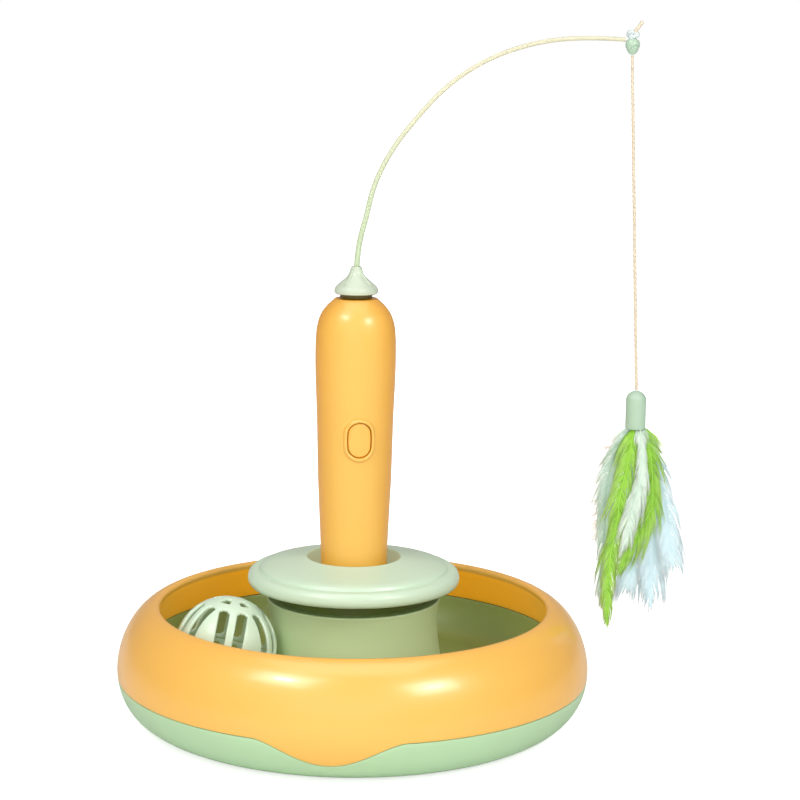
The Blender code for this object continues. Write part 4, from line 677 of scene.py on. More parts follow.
def cover_section(edge):
    outer = [ring_outline(turn) for turn in spread(turn_at(edge), 82, 30)]
    lip = [(0.0918, 0.05310), (0.0912, 0.05292), (0.0907, 0.05262), (0.0903, 0.0522), (0.09012, 0.0517)]
    wall = [(0.0901 + 0.0069 * share, 0.0511 - 0.0168 * share) for share in (0, 0.25, 0.5, 0.75, 1)]
    hollow = [(0.0988, 0.0343), (0.0937, 0.0507)]
    inner = [inside_skin(turn, COVER_WALL) for turn in (70, 50, 30, 14)]
    return outer + lip + wall + hollow + inner + [inside_skin(turn, COVER_WALL)
                                                  for turn in lap_turns(edge)[::-1]]


cover = turned_band("ring_cover_piece", cover_section(SEAM_HEIGHT), RING_STEPS)
follow_drip(cover, cover_section)
smooth(round_corners(cover, EDGE_ROUNDING, corner=45))
dress(cover, "base", "yellow_plastic", YELLOW, "ring_cover")

# %% [markdown]
# ## Tray
# The mint tray is one moulding: the lower bowl that stands on the table, a rebate that the
# cover laps over, the ring channel for the ball and the flared drum at its middle. It is
# turned like the cover, and its edge follows the same drip, a hair below the cover.

# %% Tray
TRAY_WALL, FLOOR_WALL = 0.0032, 0.0022
FLOOR_OUTER, FLOOR_INNER, FLOOR_HEIGHT, SLOPE_WIDTH = 0.082, 0.050, 0.016, 0.015
DRUM_RADIUS, DRUM_HEIGHT, NECK_RADIUS, NECK_HEIGHT, FLARE = 0.0404, 0.0565, 0.036, 0.0642, 0.0096
PLATE_RADIUS = 0.0862


def channel_line():
    shares = ((1, 1), (0.87, 0.67), (0.63, 0.33), (0.33, 0.10), (0, 0))
    return [(FLOOR_OUTER + SLOPE_WIDTH * out, FLOOR_HEIGHT + (LEDGE_HEIGHT - FLOOR_HEIGHT) * up)
            for out, up in smooth_pairs(shares, 15)]


def drum_line():
    shares = ((1, 0), (0.48, 0.06), (0.16, 0.20), (0, 0.40), (-0.14, 0.70), (-0.06, 0.90), (0, 0.985))
    return [(DRUM_RADIUS + FLARE * out, FLOOR_HEIGHT + (DRUM_HEIGHT - FLOOR_HEIGHT) * up)
            for out, up in smooth_pairs(shares, 24)]


def tray_section(edge):
    low = turn_at(edge - SEAM_GAP)
    outer = [ring_outline(turn) for turn in spread(turn_at(STAND_HEIGHT), low, 14)]
    rebate = [inside_skin(turn, COVER_WALL + SEAM_GAP) for turn in [low] + lap_turns(edge)[1:]]
    rim = [(0.0916 + 0.0022, DECK_HEIGHT), (LEDGE_RADIUS + COVER_WALL, LEDGE_HEIGHT - 0.0003),
           (LEDGE_RADIUS + 0.0015, LEDGE_HEIGHT)]
    top = [(DRUM_RADIUS - 0.0006, DRUM_HEIGHT), (NECK_RADIUS, DRUM_HEIGHT), (NECK_RADIUS, NECK_HEIGHT),
           (NECK_RADIUS - FLOOR_WALL, NECK_HEIGHT), (NECK_RADIUS - FLOOR_WALL, DRUM_HEIGHT - FLOOR_WALL)]
    inside = [(0.0373, 0.0525), (0.0382, 0.0322), (0.0400, 0.0241)]
    under = [(FLOOR_INNER - FLOOR_WALL, FLOOR_HEIGHT - FLOOR_WALL),
             (FLOOR_OUTER + FLOOR_WALL, FLOOR_HEIGHT - FLOOR_WALL), (0.0938, DECK_HEIGHT - TRAY_WALL)]
    shell = [inside_skin(turn, TRAY_WALL) for turn in spread(turn_at(DECK_HEIGHT - TRAY_WALL), -62, 6)]
    foot = [(PLATE_RADIUS + SEAM_GAP, STAND_HEIGHT + TRAY_WALL), (PLATE_RADIUS + SEAM_GAP, STAND_HEIGHT)]
    return outer + rebate + rim + channel_line() + drum_line() + top + inside + under + shell + foot


tray = turned_band("base_tray_piece", tray_section(SEAM_HEIGHT), RING_STEPS)
follow_drip(tray, tray_section)
smooth(round_corners(tray, EDGE_ROUNDING, corner=40))
dress(tray, "base", "mint_plastic", TRAY_MINT, "base_tray")

# %% [markdown]
# ## Holder disc
# The mint disc on the drum holds the wand in its socket. Its rim is a rounded bead, a shallow
# step runs round the top, and a dark dish surrounds the wand. All of it is one turned profile.

# %% Wand outline and the disc
WAND_BOTTOM, WAND_TOP, WAND_RADIUS, WAND_WALL, WAND_FIT = 0.0416, 0.1965, 0.0185, 0.0018, 0.0003
WAND_HEIGHTS = (0.004, 0.012, 0.253, 0.385, 0.483, 0.629, 0.774, 0.850, 0.897, 0.929, 0.955, 0.977, 0.990)
WAND_WIDTHS = (0.74, 0.775, 0.843, 0.892, 0.924, 0.951, 0.995, 1.0, 0.984, 0.940, 0.858, 0.728, 0.615)
DISC_BORE, DISC_BOTTOM, DISC_FLOOR, SOCKET_MOUTH = 0.010, 0.0395, 0.0413, 0.0688


def wand_line(offset=0.0):
    """Smooth wand skin as (radius, height) pairs from the bottom corner to the top corner."""
    rise = WAND_TOP - WAND_BOTTOM
    points = [(WAND_RADIUS * wide, WAND_BOTTOM + rise * high) for high, wide in zip(WAND_HEIGHTS, WAND_WIDTHS)]
    return [(radius + offset, height) for radius, height in smooth_pairs(points, 61)]


WAND_LINE = wand_line()


def wand_radius(height):
    return skin_radius(WAND_LINE, height)


def make_disc():
    mouth = wand_radius(SOCKET_MOUTH)
    base = [(DISC_BORE, DISC_BOTTOM), (mouth + 0.0029, DISC_BOTTOM), (mouth + 0.0029, 0.0625), (0.0315, 0.0625),
            (0.0315, 0.0585), (0.0335, 0.0585), (0.0335, 0.0645), (0.0446, 0.0645)]
    rim = [(0.0454, 0.0634), (0.0462, 0.0629), (0.0472, 0.0628), (0.0481, 0.0631), (0.0488, 0.0637),
           (0.0492, 0.0646), (0.0493, 0.0657), (0.0492, 0.0668), (0.0488, 0.0679), (0.0481, 0.0688),
           (0.0472, 0.0694), (0.0462, 0.0697), (0.0452, 0.0698), (0.0445, 0.0697), (0.0440, 0.0697),
           (0.0437, 0.0702), (0.0435, 0.0708), (0.0431, 0.0712)]
    cone = [(0.0431 - 0.0192 * share, 0.0712 + 0.0041 * share ** 0.9) for share in (0.2, 0.4, 0.6, 0.8, 1)]
    dish = [(0.0231, 0.0756), (0.0224, 0.0758), (0.0218, 0.0756), (0.0213, 0.0750), (0.0208, 0.0740),
            (mouth + 0.0014, SOCKET_MOUTH + 0.0008), (mouth + 0.0008, SOCKET_MOUTH),
            (mouth + WAND_FIT, SOCKET_MOUTH - 0.0006)]
    bore = [(wand_radius(height) + WAND_FIT, height) for height in spread(0.0640, 0.0440, 9)]
    floor = [(wand_radius(0.0424) + WAND_FIT, DISC_FLOOR), (DISC_BORE, DISC_FLOOR)]
    return turned("holder_disc_piece", base + rim + cone + dish + bore + floor, 160)


disc = smooth(round_corners(make_disc(), 0.00025, corner=38))
dress(disc, "base", "mint_plastic", PALE_MINT, "holder_disc")

# %% [markdown]
# ## Underside
# The underside isn't in the photograph. It has a plain closing plate, four rubber pads and four
# sunk screws. A screw is modelled once, with its cross recess cut by two bevelled bars, and
# then copied to each place, each copy with its own mesh.

# %% Steel and rubber
def metal(name, colour, roughness, along_scale):
    """Drawn or turned metal with fine lines, brighter and duller in patches."""
    finish, tree, shader = new_finish(name)
    shade = [0.8 * part for part in colour]
    tone = use_effect(tree, TONE_DRIFT, {"Color": colour, "Shade": shade, "Drift": 0.5, "Scale": 90})
    flat = add_node(tree, "ShaderNodeMapping", {"Vector": object_place(tree), "Scale": (1, 1, along_scale)})[0]
    fill(tree, shader, {"Base Color": tone, "Roughness": rub(tree, roughness, 0.15), "Metallic": 1.0,
                        "Normal": emboss(tree, noise(tree, flat, 700.0), 0.00001)})
    return finish


STEEL = metal("zinc plated steel", (0.60, 0.60, 0.61), 0.30, 12)
BRASS = metal("turned brass", (0.75, 0.53, 0.22), 0.26, 20)
RUBBER = moulded_plastic("grey rubber", (0.12, 0.12, 0.12), (0.17, 0.17, 0.17), 0.75, 0.8, 0.1, 0.00004, 2600)
print("Finishes:", STEEL.name, BRASS.name, RUBBER.name)

# %% Plate, pads and screws
PLATE_BOTTOM, PAD_CIRCLE, BOSS_CIRCLE = 0.0008, 0.074, 0.064
PAD_ANGLES, BOSS_ANGLES = (45, 135, 225, 315), (0, 90, 180, 270)
HEAD_RADIUS, WELL_RADIUS, SEAT_RADIUS = 0.0026, 0.0029, 0.0036


def round_places(radius, angles):
    turns = [math.radians(angle) for angle in angles]
    return [(radius * math.cos(turn), radius * math.sin(turn)) for turn in turns]


PAD_PLACES, BOSS_PLACES = round_places(PAD_CIRCLE, PAD_ANGLES), round_places(BOSS_CIRCLE, BOSS_ANGLES)


def make_plate():
    plate = turned("bottom_cover_piece", [(PLATE_RADIUS, PLATE_BOTTOM), (PLATE_RADIUS, 0.0034)], 160)
    recesses = [turned(name, [(radius, low), (radius, high)], steps, centre)
                for name, radius, low, high, steps, centres in (
                    ("recess", 0.0073, -0.001, 0.0019, 32, PAD_PLACES),
                    ("counterbore", WELL_RADIUS, -0.001, 0.0023, 32, BOSS_PLACES),
                    ("hole", 0.0015, 0.001, 0.005, 24, BOSS_PLACES)) for centre in centres]
    return smooth(carve(plate, *recesses), 30)


def make_pad():
    """Rubber pad with two shallow rings that grip."""
    profile = [(0.0066, 0.0016), (0.0070, 0.0012), (0.0070, 0.0004), (0.0066, 0.0001), (0.0060, 0),
               (0.0050, 0), (0.0047, 0.0003), (0.0043, 0.0003), (0.0040, 0), (0.0030, 0), (0.0027, 0.0003),
               (0.0023, 0.0003), (0.0020, 0)]
    return smooth(turned("pad", profile, 48), 50)


def make_screw(length):
    """Pan-head screw with its head's face at z = 0 and its shank downwards."""
    profile = [(0.0007, -length), (0.0012, -length + 0.0004), (0.0012, -0.0012), (HEAD_RADIUS, -0.0012),
               (HEAD_RADIUS, -0.0008), (0.00245, -0.0003), (0.0021, -0.0001), (0.0013, 0)]
    screw = turned("screw", profile, 32)
    bars = []
    for turn in (0, math.pi / 2):
        release()
        bpy.ops.mesh.primitive_cube_add(size=1, location=(0, 0, -0.0002), rotation=(0, 0, turn),
                                        scale=(0.0031, 0.0006, 0.0013))
        bars.append(settle("cross bar"))
    return smooth(carve(screw, *bars), 30)


def copy_to(source, name, place, outward=(0, 0, 1)):
    """Copy with its own mesh, turned from +Z to the outward direction and put at the place."""
    piece = add_piece(name, source.data.copy())
    piece.data.name = name
    piece.rotation_euler = Vector(outward).to_track_quat("Z", "Y").to_euler()
    piece.location = place
    return fix_place(piece)


dress(make_plate(), "base", "mint_plastic", MINT, "bottom_cover")
pad, screw = make_pad(), make_screw(0.0080)
for index, centre in enumerate(PAD_PLACES, 1):
    dress(copy_to(pad, f"foot_pad_piece_{index}", (*centre, 0)), "base", "foot_rubber", RUBBER, f"foot_pad_{index}")
for index, centre in enumerate(BOSS_PLACES, 1):
    dress(copy_to(screw, f"base_screw_piece_{index}", (*centre, PLATE_BOTTOM), (0, 0, -1)), "base", "steel",
          STEEL, f"base_screw_{index}")
bpy.data.objects.remove(pad)
bpy.data.objects.remove(screw)

# %% [markdown]
# ## Wand shells
# The wand is a hollow handle in two halves, a front and a rear one, screwed together from
# behind. It is turned as one hollow body and then bisected at the split plane, as the real
# parting line runs. Openings for the button, the door and the screws are carved after that.

# %% Hollow wand and its halves
BUTTON_HEIGHT, BUTTON_WIDTH, BUTTON_LENGTH = 0.1335, 0.0105, 0.0158
HOLE_WIDTH, HOLE_LENGTH = 0.0111, 0.0164
SPLIT_GAP, LOWER_CHAMBER, UPPER_CHAMBER = 0.00015, 0.0434, 0.1943


def hollow_wand(name):
    outer = [(0.0128, WAND_BOTTOM)] + WAND_LINE + [(0.0101, 0.19615), (0.0095, WAND_TOP)]
    inner = [(radius, height) for radius, height in wand_line(-WAND_WALL) if LOWER_CHAMBER < height < 0.1936]
    nose = [(0.0046, WAND_TOP), (0.0043, 0.1962), (0.0043, UPPER_CHAMBER), (0.0077, UPPER_CHAMBER)]
    sole = [(0.0119, LOWER_CHAMBER), (0.0010, LOWER_CHAMBER), (0.0010, WAND_BOTTOM)]
    return turned_band(name, outer + nose + inner[::-1] + sole, 112)


def bisect_at(piece, place, normal, filled=True):
    """Cut the piece by a plane and keep the side that the normal points away from."""
    edit(piece)
    bpy.ops.mesh.bisect(plane_co=place, plane_no=normal, use_fill=filled, clear_outer=True)
    bpy.ops.object.mode_set(mode="OBJECT")
    return piece


def half_wand(name, way):
    """Front (-1) or rear (1) half of the hollow wand, with its edges rounded."""
    half = bisect_at(hollow_wand(name), (0, way * SPLIT_GAP, 0), (0, -way, 0))
    return round_corners(close_up(half), 0.0002, corner=50)


def pull_through(piece, depth):
    """Extrude a flat upright shape along Y into a bar."""
    edit(piece)
    extrude((0, depth, 0))
    return close_up(piece)


def oval(name, width, length, near, far, height):
    """Stadium-shaped bar along Y between two depths: a circle whose halves are pulled apart."""
    piece = new_circle(name, width / 2, 48, (0, near, height), lying=True)
    for vertex in piece.data.vertices:
        away = vertex.co.z - height
        vertex.co.z += math.copysign((length - width) / 2, away) if abs(away) > 1e-6 else 0
    return pull_through(piece, far - near)


front_shell = half_wand("handle_front_piece", -1)
carve(front_shell, oval("button opening", HOLE_WIDTH, HOLE_LENGTH, -0.03, -0.004, BUTTON_HEIGHT))
dress(smooth(front_shell, 30), "wand", "yellow_plastic", WAND_YELLOW, "handle_front_shell")

# %% [markdown]
# ## Rear shell, battery door and their screws
# The door is the piece of the same turned wall inside four straight cuts, so it fits its
# opening all round. Its screw and the shell's four screws sit in round wells.

# %% Rear shell, door and screws
DOOR_HALF, DOOR_BOTTOM, DOOR_TOP, DOOR_DEPTH, DOOR_FIT = 0.0095, 0.0790, 0.1330, 0.00525, 0.0003
DOOR_SCREW = (0.0, DOOR_TOP - 0.0045)
WAND_SCREWS = ((0.0, 0.060), (0.0112, 0.143), (-0.0112, 0.143), (-0.0112, 0.1845))
OUTSIDE = 0.03


def lying_drum(name, radius, near, far, side, height):
    return pull_through(new_circle(name, radius, 32, (side, near, height), lying=True), far - near)


def head_depth(side, height):
    """Depth of a screw head sunk just under the rear skin."""
    return math.sqrt(wand_radius(height) ** 2 - (abs(side) + HEAD_RADIUS) ** 2) - 0.0003


def screw_well(side, height):
    return lying_drum("well", WELL_RADIUS, head_depth(side, height) - 0.0015, OUTSIDE, side, height)


def make_rear_shell():
    shell = half_wand("handle_rear_piece", 1)
    release()
    low = Vector((-DOOR_HALF - DOOR_FIT, DOOR_DEPTH, DOOR_BOTTOM - DOOR_FIT))
    high = Vector((DOOR_HALF + DOOR_FIT, OUTSIDE, DOOR_TOP + DOOR_FIT))
    bpy.ops.mesh.primitive_cube_add(size=1, location=(low + high) / 2, scale=high - low)
    opening = settle("door opening")
    carve(shell, opening, *[screw_well(*place) for place in WAND_SCREWS])
    return smooth(shell, 30)


def make_door():
    door = hollow_wand("battery_door_piece")
    for place, normal in (((0, DOOR_DEPTH, 0), (0, -1, 0)), ((DOOR_HALF, 0, 0), (1, 0, 0)),
                          ((-DOOR_HALF, 0, 0), (-1, 0, 0)), ((0, 0, DOOR_TOP), (0, 0, 1)),
                          ((0, 0, DOOR_BOTTOM), (0, 0, -1))):
        bisect_at(door, place, normal)
    round_corners(close_up(door), 0.00025, corner=40)
    depth = head_depth(*DOOR_SCREW)
    carve(door, lying_drum("seat", SEAT_RADIUS, depth - 0.0024, depth + 0.0001, *DOOR_SCREW), operation="UNION")
    return smooth(carve(door, screw_well(*DOOR_SCREW)), 30)


dress(make_rear_shell(), "wand", "yellow_plastic", WAND_YELLOW, "handle_rear_shell")
dress(make_door(), "door", "yellow_plastic", WAND_YELLOW, "battery_door")
screw = make_screw(0.0090)
screw_rows = [(f"handle_screw_{index}", "wand", place) for index, place in enumerate(WAND_SCREWS, 1)]
for name, body, (side, height) in screw_rows + [("door_screw", "door", DOOR_SCREW)]:
    piece = copy_to(screw, name.replace("screw", "screw_piece"), (side, head_depth(side, height), height), (0, 1, 0))
    dress(piece, body, "steel", STEEL, name)
bpy.data.objects.remove(screw)

# %% [markdown]
# ## Button and its ring
# An oval ring stands 1.3 mm proud of the wand, and the button fills it with a thin groove left
# all round. Both follow the round handle. Flat ovals are grown outwards row by row, and each
# row is then laid onto the wand's skin at its own height above it.

# %% Oval ring and button
BEZEL_ROWS = ((0.00002, -0.0016), (0, 0.0002), (0.00006, 0.00066), (0.00028, 0.00104), (0.0006, 0.00124),
              (0.00095, 0.00126), (0.0013, 0.0011), (0.0016, 0.0008), (0.00175, 0.00045), (0.0018, 0),
              (0.0018, -0.0006))
BUTTON_ROWS = ((0, -0.0040), (0, -0.0002), (-0.00008, 0.00012), (-0.0003, 0.00034), (-0.0007, 0.00045),
               (-0.0014, 0.0005), (-0.0024, 0.0005), (-0.0036, 0.0005))


def lay_on_wand(side, height, proud):
    """Point of the wand's front skin, raised by proud."""
    reach = wand_radius(height) + proud
    return Vector((side, -math.sqrt(reach ** 2 - side ** 2), height))


def oval_rows(name, width, length, rows, filled):
    """Grow an oval through rows of (outwards, proud), then lay it on the wand."""
    piece = new_circle(name, 0.5, 64, (0, 0, 0), filled, lying=True)
    edit(piece)
    for _ in rows[1:]:
        extrude((0, -1.0, 0))
    if not filled:
        bridge_ends()
    bpy.ops.object.mode_set(mode="OBJECT")
    for vertex in piece.data.vertices:
        out, proud = rows[round(-vertex.co.y)]
        half = (width + 2 * out) / 2
        turn = math.atan2(vertex.co.z, vertex.co.x)
        lift = half * math.sin(turn) + (length - width) / 2 * max(-1.0, min(1.0, 4 * math.sin(turn)))
        vertex.co = lay_on_wand(half * math.cos(turn), BUTTON_HEIGHT + lift, proud)
    return smooth(close_up(piece), 60)


bezel = oval_rows("button_ring_piece", HOLE_WIDTH, HOLE_LENGTH, BEZEL_ROWS, False)
dress(bezel, "wand", "yellow_plastic", YELLOW)
button = oval_rows("button_piece", BUTTON_WIDTH, BUTTON_LENGTH, BUTTON_ROWS, True)
dress(button, "button", "yellow_plastic", WAND_YELLOW, "button")

# %% [markdown]
# ## Rotor cap
# The cap that the motor turns has a concave top like a small bell, with four thin ribs that
# stiffen the rod's socket. The body is turned; the ribs are slim bars with rounded edges.

# %% Cap and ribs
CAP_RADIUS, CAP_BOTTOM, CAP_HEIGHT = 0.010, 0.1984, 0.0126
RIB_BOTTOM, RIB_HEIGHT, RIB_REACH, RIB_THICKNESS, RIB_ROOT = 0.2030, 0.0066, 0.0007, 0.0010, 0.0018


def make_rib(skin, turn):
    """Thin upright wall from the rod's socket to just outside the cap's skin."""
    release()
    bpy.ops.mesh.primitive_plane_add(size=1, location=(0.5, 0, 0.5), rotation=(math.pi / 2, 0, 0))
    rib = settle("cap rib")
    edit(rib)
    bpy.ops.mesh.subdivide(number_cuts=6)
    bpy.ops.object.mode_set(mode="OBJECT")
    for vertex in rib.data.vertices:
        height = RIB_BOTTOM + RIB_HEIGHT * vertex.co.z
        reach = skin_radius(skin, height) + RIB_REACH
        vertex.co = (RIB_ROOT + (reach - RIB_ROOT) * vertex.co.x, 0, height)
    wall = rib.modifiers.new("thickness", "SOLIDIFY")
    wall.thickness = RIB_THICKNESS
    wall.offset = 0
    apply_modifiers(rib)
    round_corners(rib, 0.0002, corner=60)
    rib.rotation_euler = (0, 0, math.radians(turn))
    return fix_place(rib)


def make_cap():
    shares = ((0.79, 0), (0.97, 0.03), (1, 0.14), (0.95, 0.26), (0.74, 0.42), (0.49, 0.59), (0.32, 0.76),
              (0.24, 1))
    skin = [(CAP_RADIUS * wide, CAP_BOTTOM + CAP_HEIGHT * high) for wide, high in smooth_pairs(shares, 36)]
    neck = [(0.0028, 0.1969), (0.0074, 0.1969), (0.0074, CAP_BOTTOM)]
    socket = [(0.0019, 0.2110), (0.0017, 0.2106), (0.0017, 0.2037), (0.0026, 0.2037)]
    cap = turned_band("rotor_cap_piece", neck + skin + socket, 96)
    round_corners(cap, 0.00018, corner=45)
    ribs = [make_rib(skin, turn) for turn in (45, 135, 225, 315)]
    take(cap)
    for rib in ribs:
        rib.select_set(True)
    bpy.ops.object.join()
    return smooth(cap, 35)


dress(make_cap(), "rotor", "mint_plastic", CAP_MINT, "rotor_cap")

# %% [markdown]
# ## Arm rod
# The arm is a springy rod in a thin skin of plastic, mint at its root and cream towards the
# tip. It is a curve with a round section that thins towards the tip, turned into a mesh, and
# its colour runs along it by height.

# %% Rod material and rod
ARM_REACH, ARM_RISE, ARM_FOOT, ARM_STEPS = 0.1225, 0.1108, 0.2040, 120
ARM_SHARES = ((0, 0), (0.002, 0.08), (0.012, 0.17), (0.034, 0.265), (0.066, 0.40), (0.124, 0.53), (0.20, 0.645),
              (0.315, 0.783), (0.432, 0.878), (0.55, 0.94), (0.669, 0.979), (0.787, 0.997), (0.907, 1.0),
              (1.0, 0.996))


def make_rod_finish():
    """Thin plastic skin, mint below and cream above."""
    finish, tree, shader = new_finish("mint to cream rod")
    height = add_node(tree, "ShaderNodeSeparateXYZ", {0: object_place(tree)})["Z"]
    along = remap(tree, height, 0.215, 0.300, interpolation_type="SMOOTHSTEP")
    base = mix(tree, along, (0.55, 0.69, 0.46), (0.76, 0.72, 0.54))
    tone = use_effect(tree, TONE_DRIFT, {"Color": base, "Shade": (0.48, 0.50, 0.30), "Drift": 0.4, "Scale": 60})
    grain = use_effect(tree, MOULD_GRAIN, {"Grain Scale": 2400})
    fill(tree, shader, {"Base Color": tone, "Roughness": rub(tree, 0.38, 0.12),
                        "Normal": emboss(tree, grain, 0.00002)})
    return finish


def curve_tube(name, points, radii, sides=4, cyclic=False):
    """Round tube along a curve, turned into a mesh with closed ends."""
    thickest = max(radii)
    curve = bpy.data.curves.new(name, "CURVE")
    curve.dimensions = "3D"
    curve.bevel_depth = thickest
    curve.bevel_resolution = sides
    curve.use_fill_caps = not cyclic
    line = curve.splines.new("POLY")
    line.points.add(len(points) - 1)
    line.use_cyclic_u = cyclic
    for spot, point, radius in zip(line.points, points, radii):
        spot.co = (*point, 1.0)
        spot.radius = radius / thickest
    take(add_piece(name, curve))
    bpy.ops.object.convert(target="MESH")
    piece = bpy.context.view_layer.objects.active
    piece.name = piece.data.name = name
    edit(piece)
    bpy.ops.mesh.remove_doubles(threshold=1e-6)
    return smooth(close_up(piece), 60)


arm_points = smooth_line([(ARM_REACH * out, 0, ARM_FOOT + ARM_RISE * up) for out, up in ARM_SHARES], ARM_STEPS)
rod = curve_tube("arm_rod_piece", arm_points, spread(0.00135, 0.00095, ARM_STEPS), 6)
dress(rod, "rotor", "arm_plastic", make_rod_finish(), "arm_rod")

# %% [markdown]
# ## Tip bead, knot and tail
# The string passes through a small mint bead on the rod's end, is tied in a waxed knot on top
# and ends in a short free tail. The knot is a true trefoil knot, drawn as one closed loop of
# string, and the bead has the slit that the string is pulled into.

# %% Bead, knot and tail
BEAD = Vector((0.1259, 0, 0.3112))
BEAD_RADIUS, BEAD_HEIGHT = 0.0033, 0.0070
KNOT_STEPS, KNOT_SCALE, KNOT_LIFT, KNOT_RADIUS = 120, 0.00070, 0.0051, 0.00104


def make_bead():
    shares = ((0.30, -0.52), (0.50, -0.44), (0.80, -0.20), (0.99, 0.04), (0.98, 0.24), (0.80, 0.42), (0.50, 0.5))
    profile = [(BEAD_RADIUS * wide, BEAD.z + BEAD_HEIGHT * high) for wide, high in smooth_pairs(shares, 20)]
    bead = turned("arm_tip_piece", profile, 64, (BEAD.x, BEAD.y))
    release()
    bpy.ops.mesh.primitive_torus_add(location=(BEAD.x + 0.0002, BEAD.y - 0.0004, BEAD.z + 0.0005),
                                     rotation=(math.radians(8), math.radians(-12), 0), major_radius=0.0030,
                                     minor_radius=0.0005, major_segments=64, minor_segments=10)
    slit = settle("slit")
    for place, normal in (((BEAD.x - 0.0014, 0, 0), (-1, 0, 0)), ((BEAD.x + 0.0017, 0, 0), (1, 0, 0)),
                          ((0, BEAD.y, 0), (0, 1, 0))):
        bisect_at(slit, place, normal)
    return smooth(carve(bead, close_up(slit)), 35)


def make_knot():
    """Trefoil knot of string: one closed line that passes over and under itself three times."""
    points = []
    for step in range(KNOT_STEPS):
        t = 2 * math.pi * step / KNOT_STEPS
        points.append(Vector((math.sin(t) + 2 * math.sin(2 * t), -math.sin(3 * t) * 1.1,
                              math.cos(t) - 2 * math.cos(2 * t))) * KNOT_SCALE
                      + BEAD + Vector((0, 0, KNOT_LIFT)))
    return curve_tube("string_knot_piece", points, [KNOT_RADIUS] * KNOT_STEPS, 5, cyclic=True)


def make_tail():
    """Free end of the string, a little fanned out where it was cut."""
    line = [BEAD + Vector(step) for step in ((0.0002, -0.0004, 0.0056), (0.0018, -0.0004, 0.0080),
                                             (0.0034, -0.0002, 0.0100), (0.0044, 0, 0.0115))]
    radii = [0.0008] * 3 + [0.00085] * 10 + [0.0009, 0.0010, 0.0010, 0.0008, 0.0004]
    return curve_tube("string_tail_piece", smooth_line(line, len(radii)), radii)


WAXED = moulded_plastic("waxed white knot", (0.74, 0.82, 0.82), (0.52, 0.60, 0.62), 0.22, 0.8, 0.05, 0.00004, 900)
dress(make_bead(), "rotor", "mint_plastic", SOFT_MINT, "arm_tip")
dress(make_knot(), "rotor", "ivory_plastic", WAXED, "string_knot")
dress(make_tail(), "rotor", "cream_string", CREAM_COTTON)

# %% [markdown]
# ## Ferrule
# A small mint sleeve with a rounded top grips the quills of all the feathers. It is turned, and
# it is hollow from below, where the quills enter.

# %% Ferrule
FERRULE_TOP, FERRULE_RADIUS, DOME_HEIGHT = down_string(0.1555), 0.0048, 0.0045
FERRULE_FOOT = FERRULE_TOP - Vector((0, 0, 0.0180))


def make_ferrule():
    top, foot = FERRULE_TOP.z, FERRULE_FOOT.z
    dome = [(FERRULE_RADIUS * math.cos(turn), top - DOME_HEIGHT + DOME_HEIGHT * math.sin(turn))
            for turn in spread(math.radians(78), 0, 10)]
    profile = [(0.0003, top - 0.0001)] + dome + [(0.0048, foot + 0.0006), (0.0047, foot + 0.0002),
                                                (0.0045, foot), (0.0038, foot), (0.0037, foot + 0.0080),
                                                (0.0010, foot + 0.0080)]
    return smooth(turned("ferrule_piece", profile, 64, (FERRULE_TOP.x, 0)), 35)


dress(make_ferrule(), "teaser", "mint_plastic", SOFT_MINT, "ferrule")

# %% [markdown]
# ## Feathers
# Each feather is a thin curved quill with hundreds of fine barbs, which lie in small tufts with
# notches between them. A flat blade with a picture would show no depth. Every barb here is a
# slim tapered sliver of three sides that starts on the quill and sweeps to the tip. The seeded
# random numbers bunch the barbs into tufts, the same way on each run.

# %% Feather material
def make_strand_tone():
    """Colour of a barb: from its root colour to its tip colour, and each tuft in its own tone."""
    group, given = new_effect("strand tone", {"Root": (0.5, 0.5, 0.5), "Tip": (0.8, 0.8, 0.8),
                                              "Deep": (0.3, 0.3, 0.3), "Streak": 0.6})
    uv = add_node(group, "ShaderNodeTexCoord", {})["UV"]
    parts = add_node(group, "ShaderNodeSeparateXYZ", {0: uv})
    tint = mix(group, parts["X"], given["Root"], given["Tip"])
    dark = remap(group, parts["Y"], 0.45, 1.0, 0.0, given["Streak"])
    return give_out(group, "Color", mix(group, dark, tint, given["Deep"]))


STRAND_TONE = make_strand_tone()


def feather_finish(name, root, tip, deep, streak, glow):
    """Finish of one sort of feather; the glow stands for light that passes through thin barbs."""
    finish, tree, shader = new_finish(name)
    tone = use_effect(tree, STRAND_TONE, {"Root": root, "Tip": tip, "Deep": deep, "Streak": streak})
    fuzz = noise(tree, object_place(tree), 3200.0)
    fill(tree, shader, {"Base Color": tone, "Roughness": 0.8, "Specular IOR Level": 0.25, "Emission Color": tone,
                        "Emission Strength": glow, "Normal": emboss(tree, fuzz, 0.00005)})
    return finish


LIME = feather_finish("lime feather", (0.30, 0.62, 0.05), (0.62, 0.86, 0.28), (0.10, 0.32, 0.01), 0.85, 0.06)
WHITE = feather_finish("white feather", (0.60, 0.74, 0.62), (0.88, 0.94, 0.89), (0.36, 0.54, 0.38), 0.70, 0.08)
MINT_WHITE = feather_finish("mint white feather", (0.50, 0.66, 0.56), (0.80, 0.89, 0.80), (0.34, 0.52, 0.40),
                            0.65, 0.13)
PALE_BLUE = feather_finish("pale blue feather", (0.62, 0.79, 0.84), (0.82, 0.91, 0.94), (0.46, 0.64, 0.69),
                           0.55, 0.12)
DOWN = feather_finish("peach white down", (0.95, 0.80, 0.68), (0.98, 0.88, 0.78), (0.84, 0.68, 0.56), 0.5, 0.10)
print("Feather finishes ready")

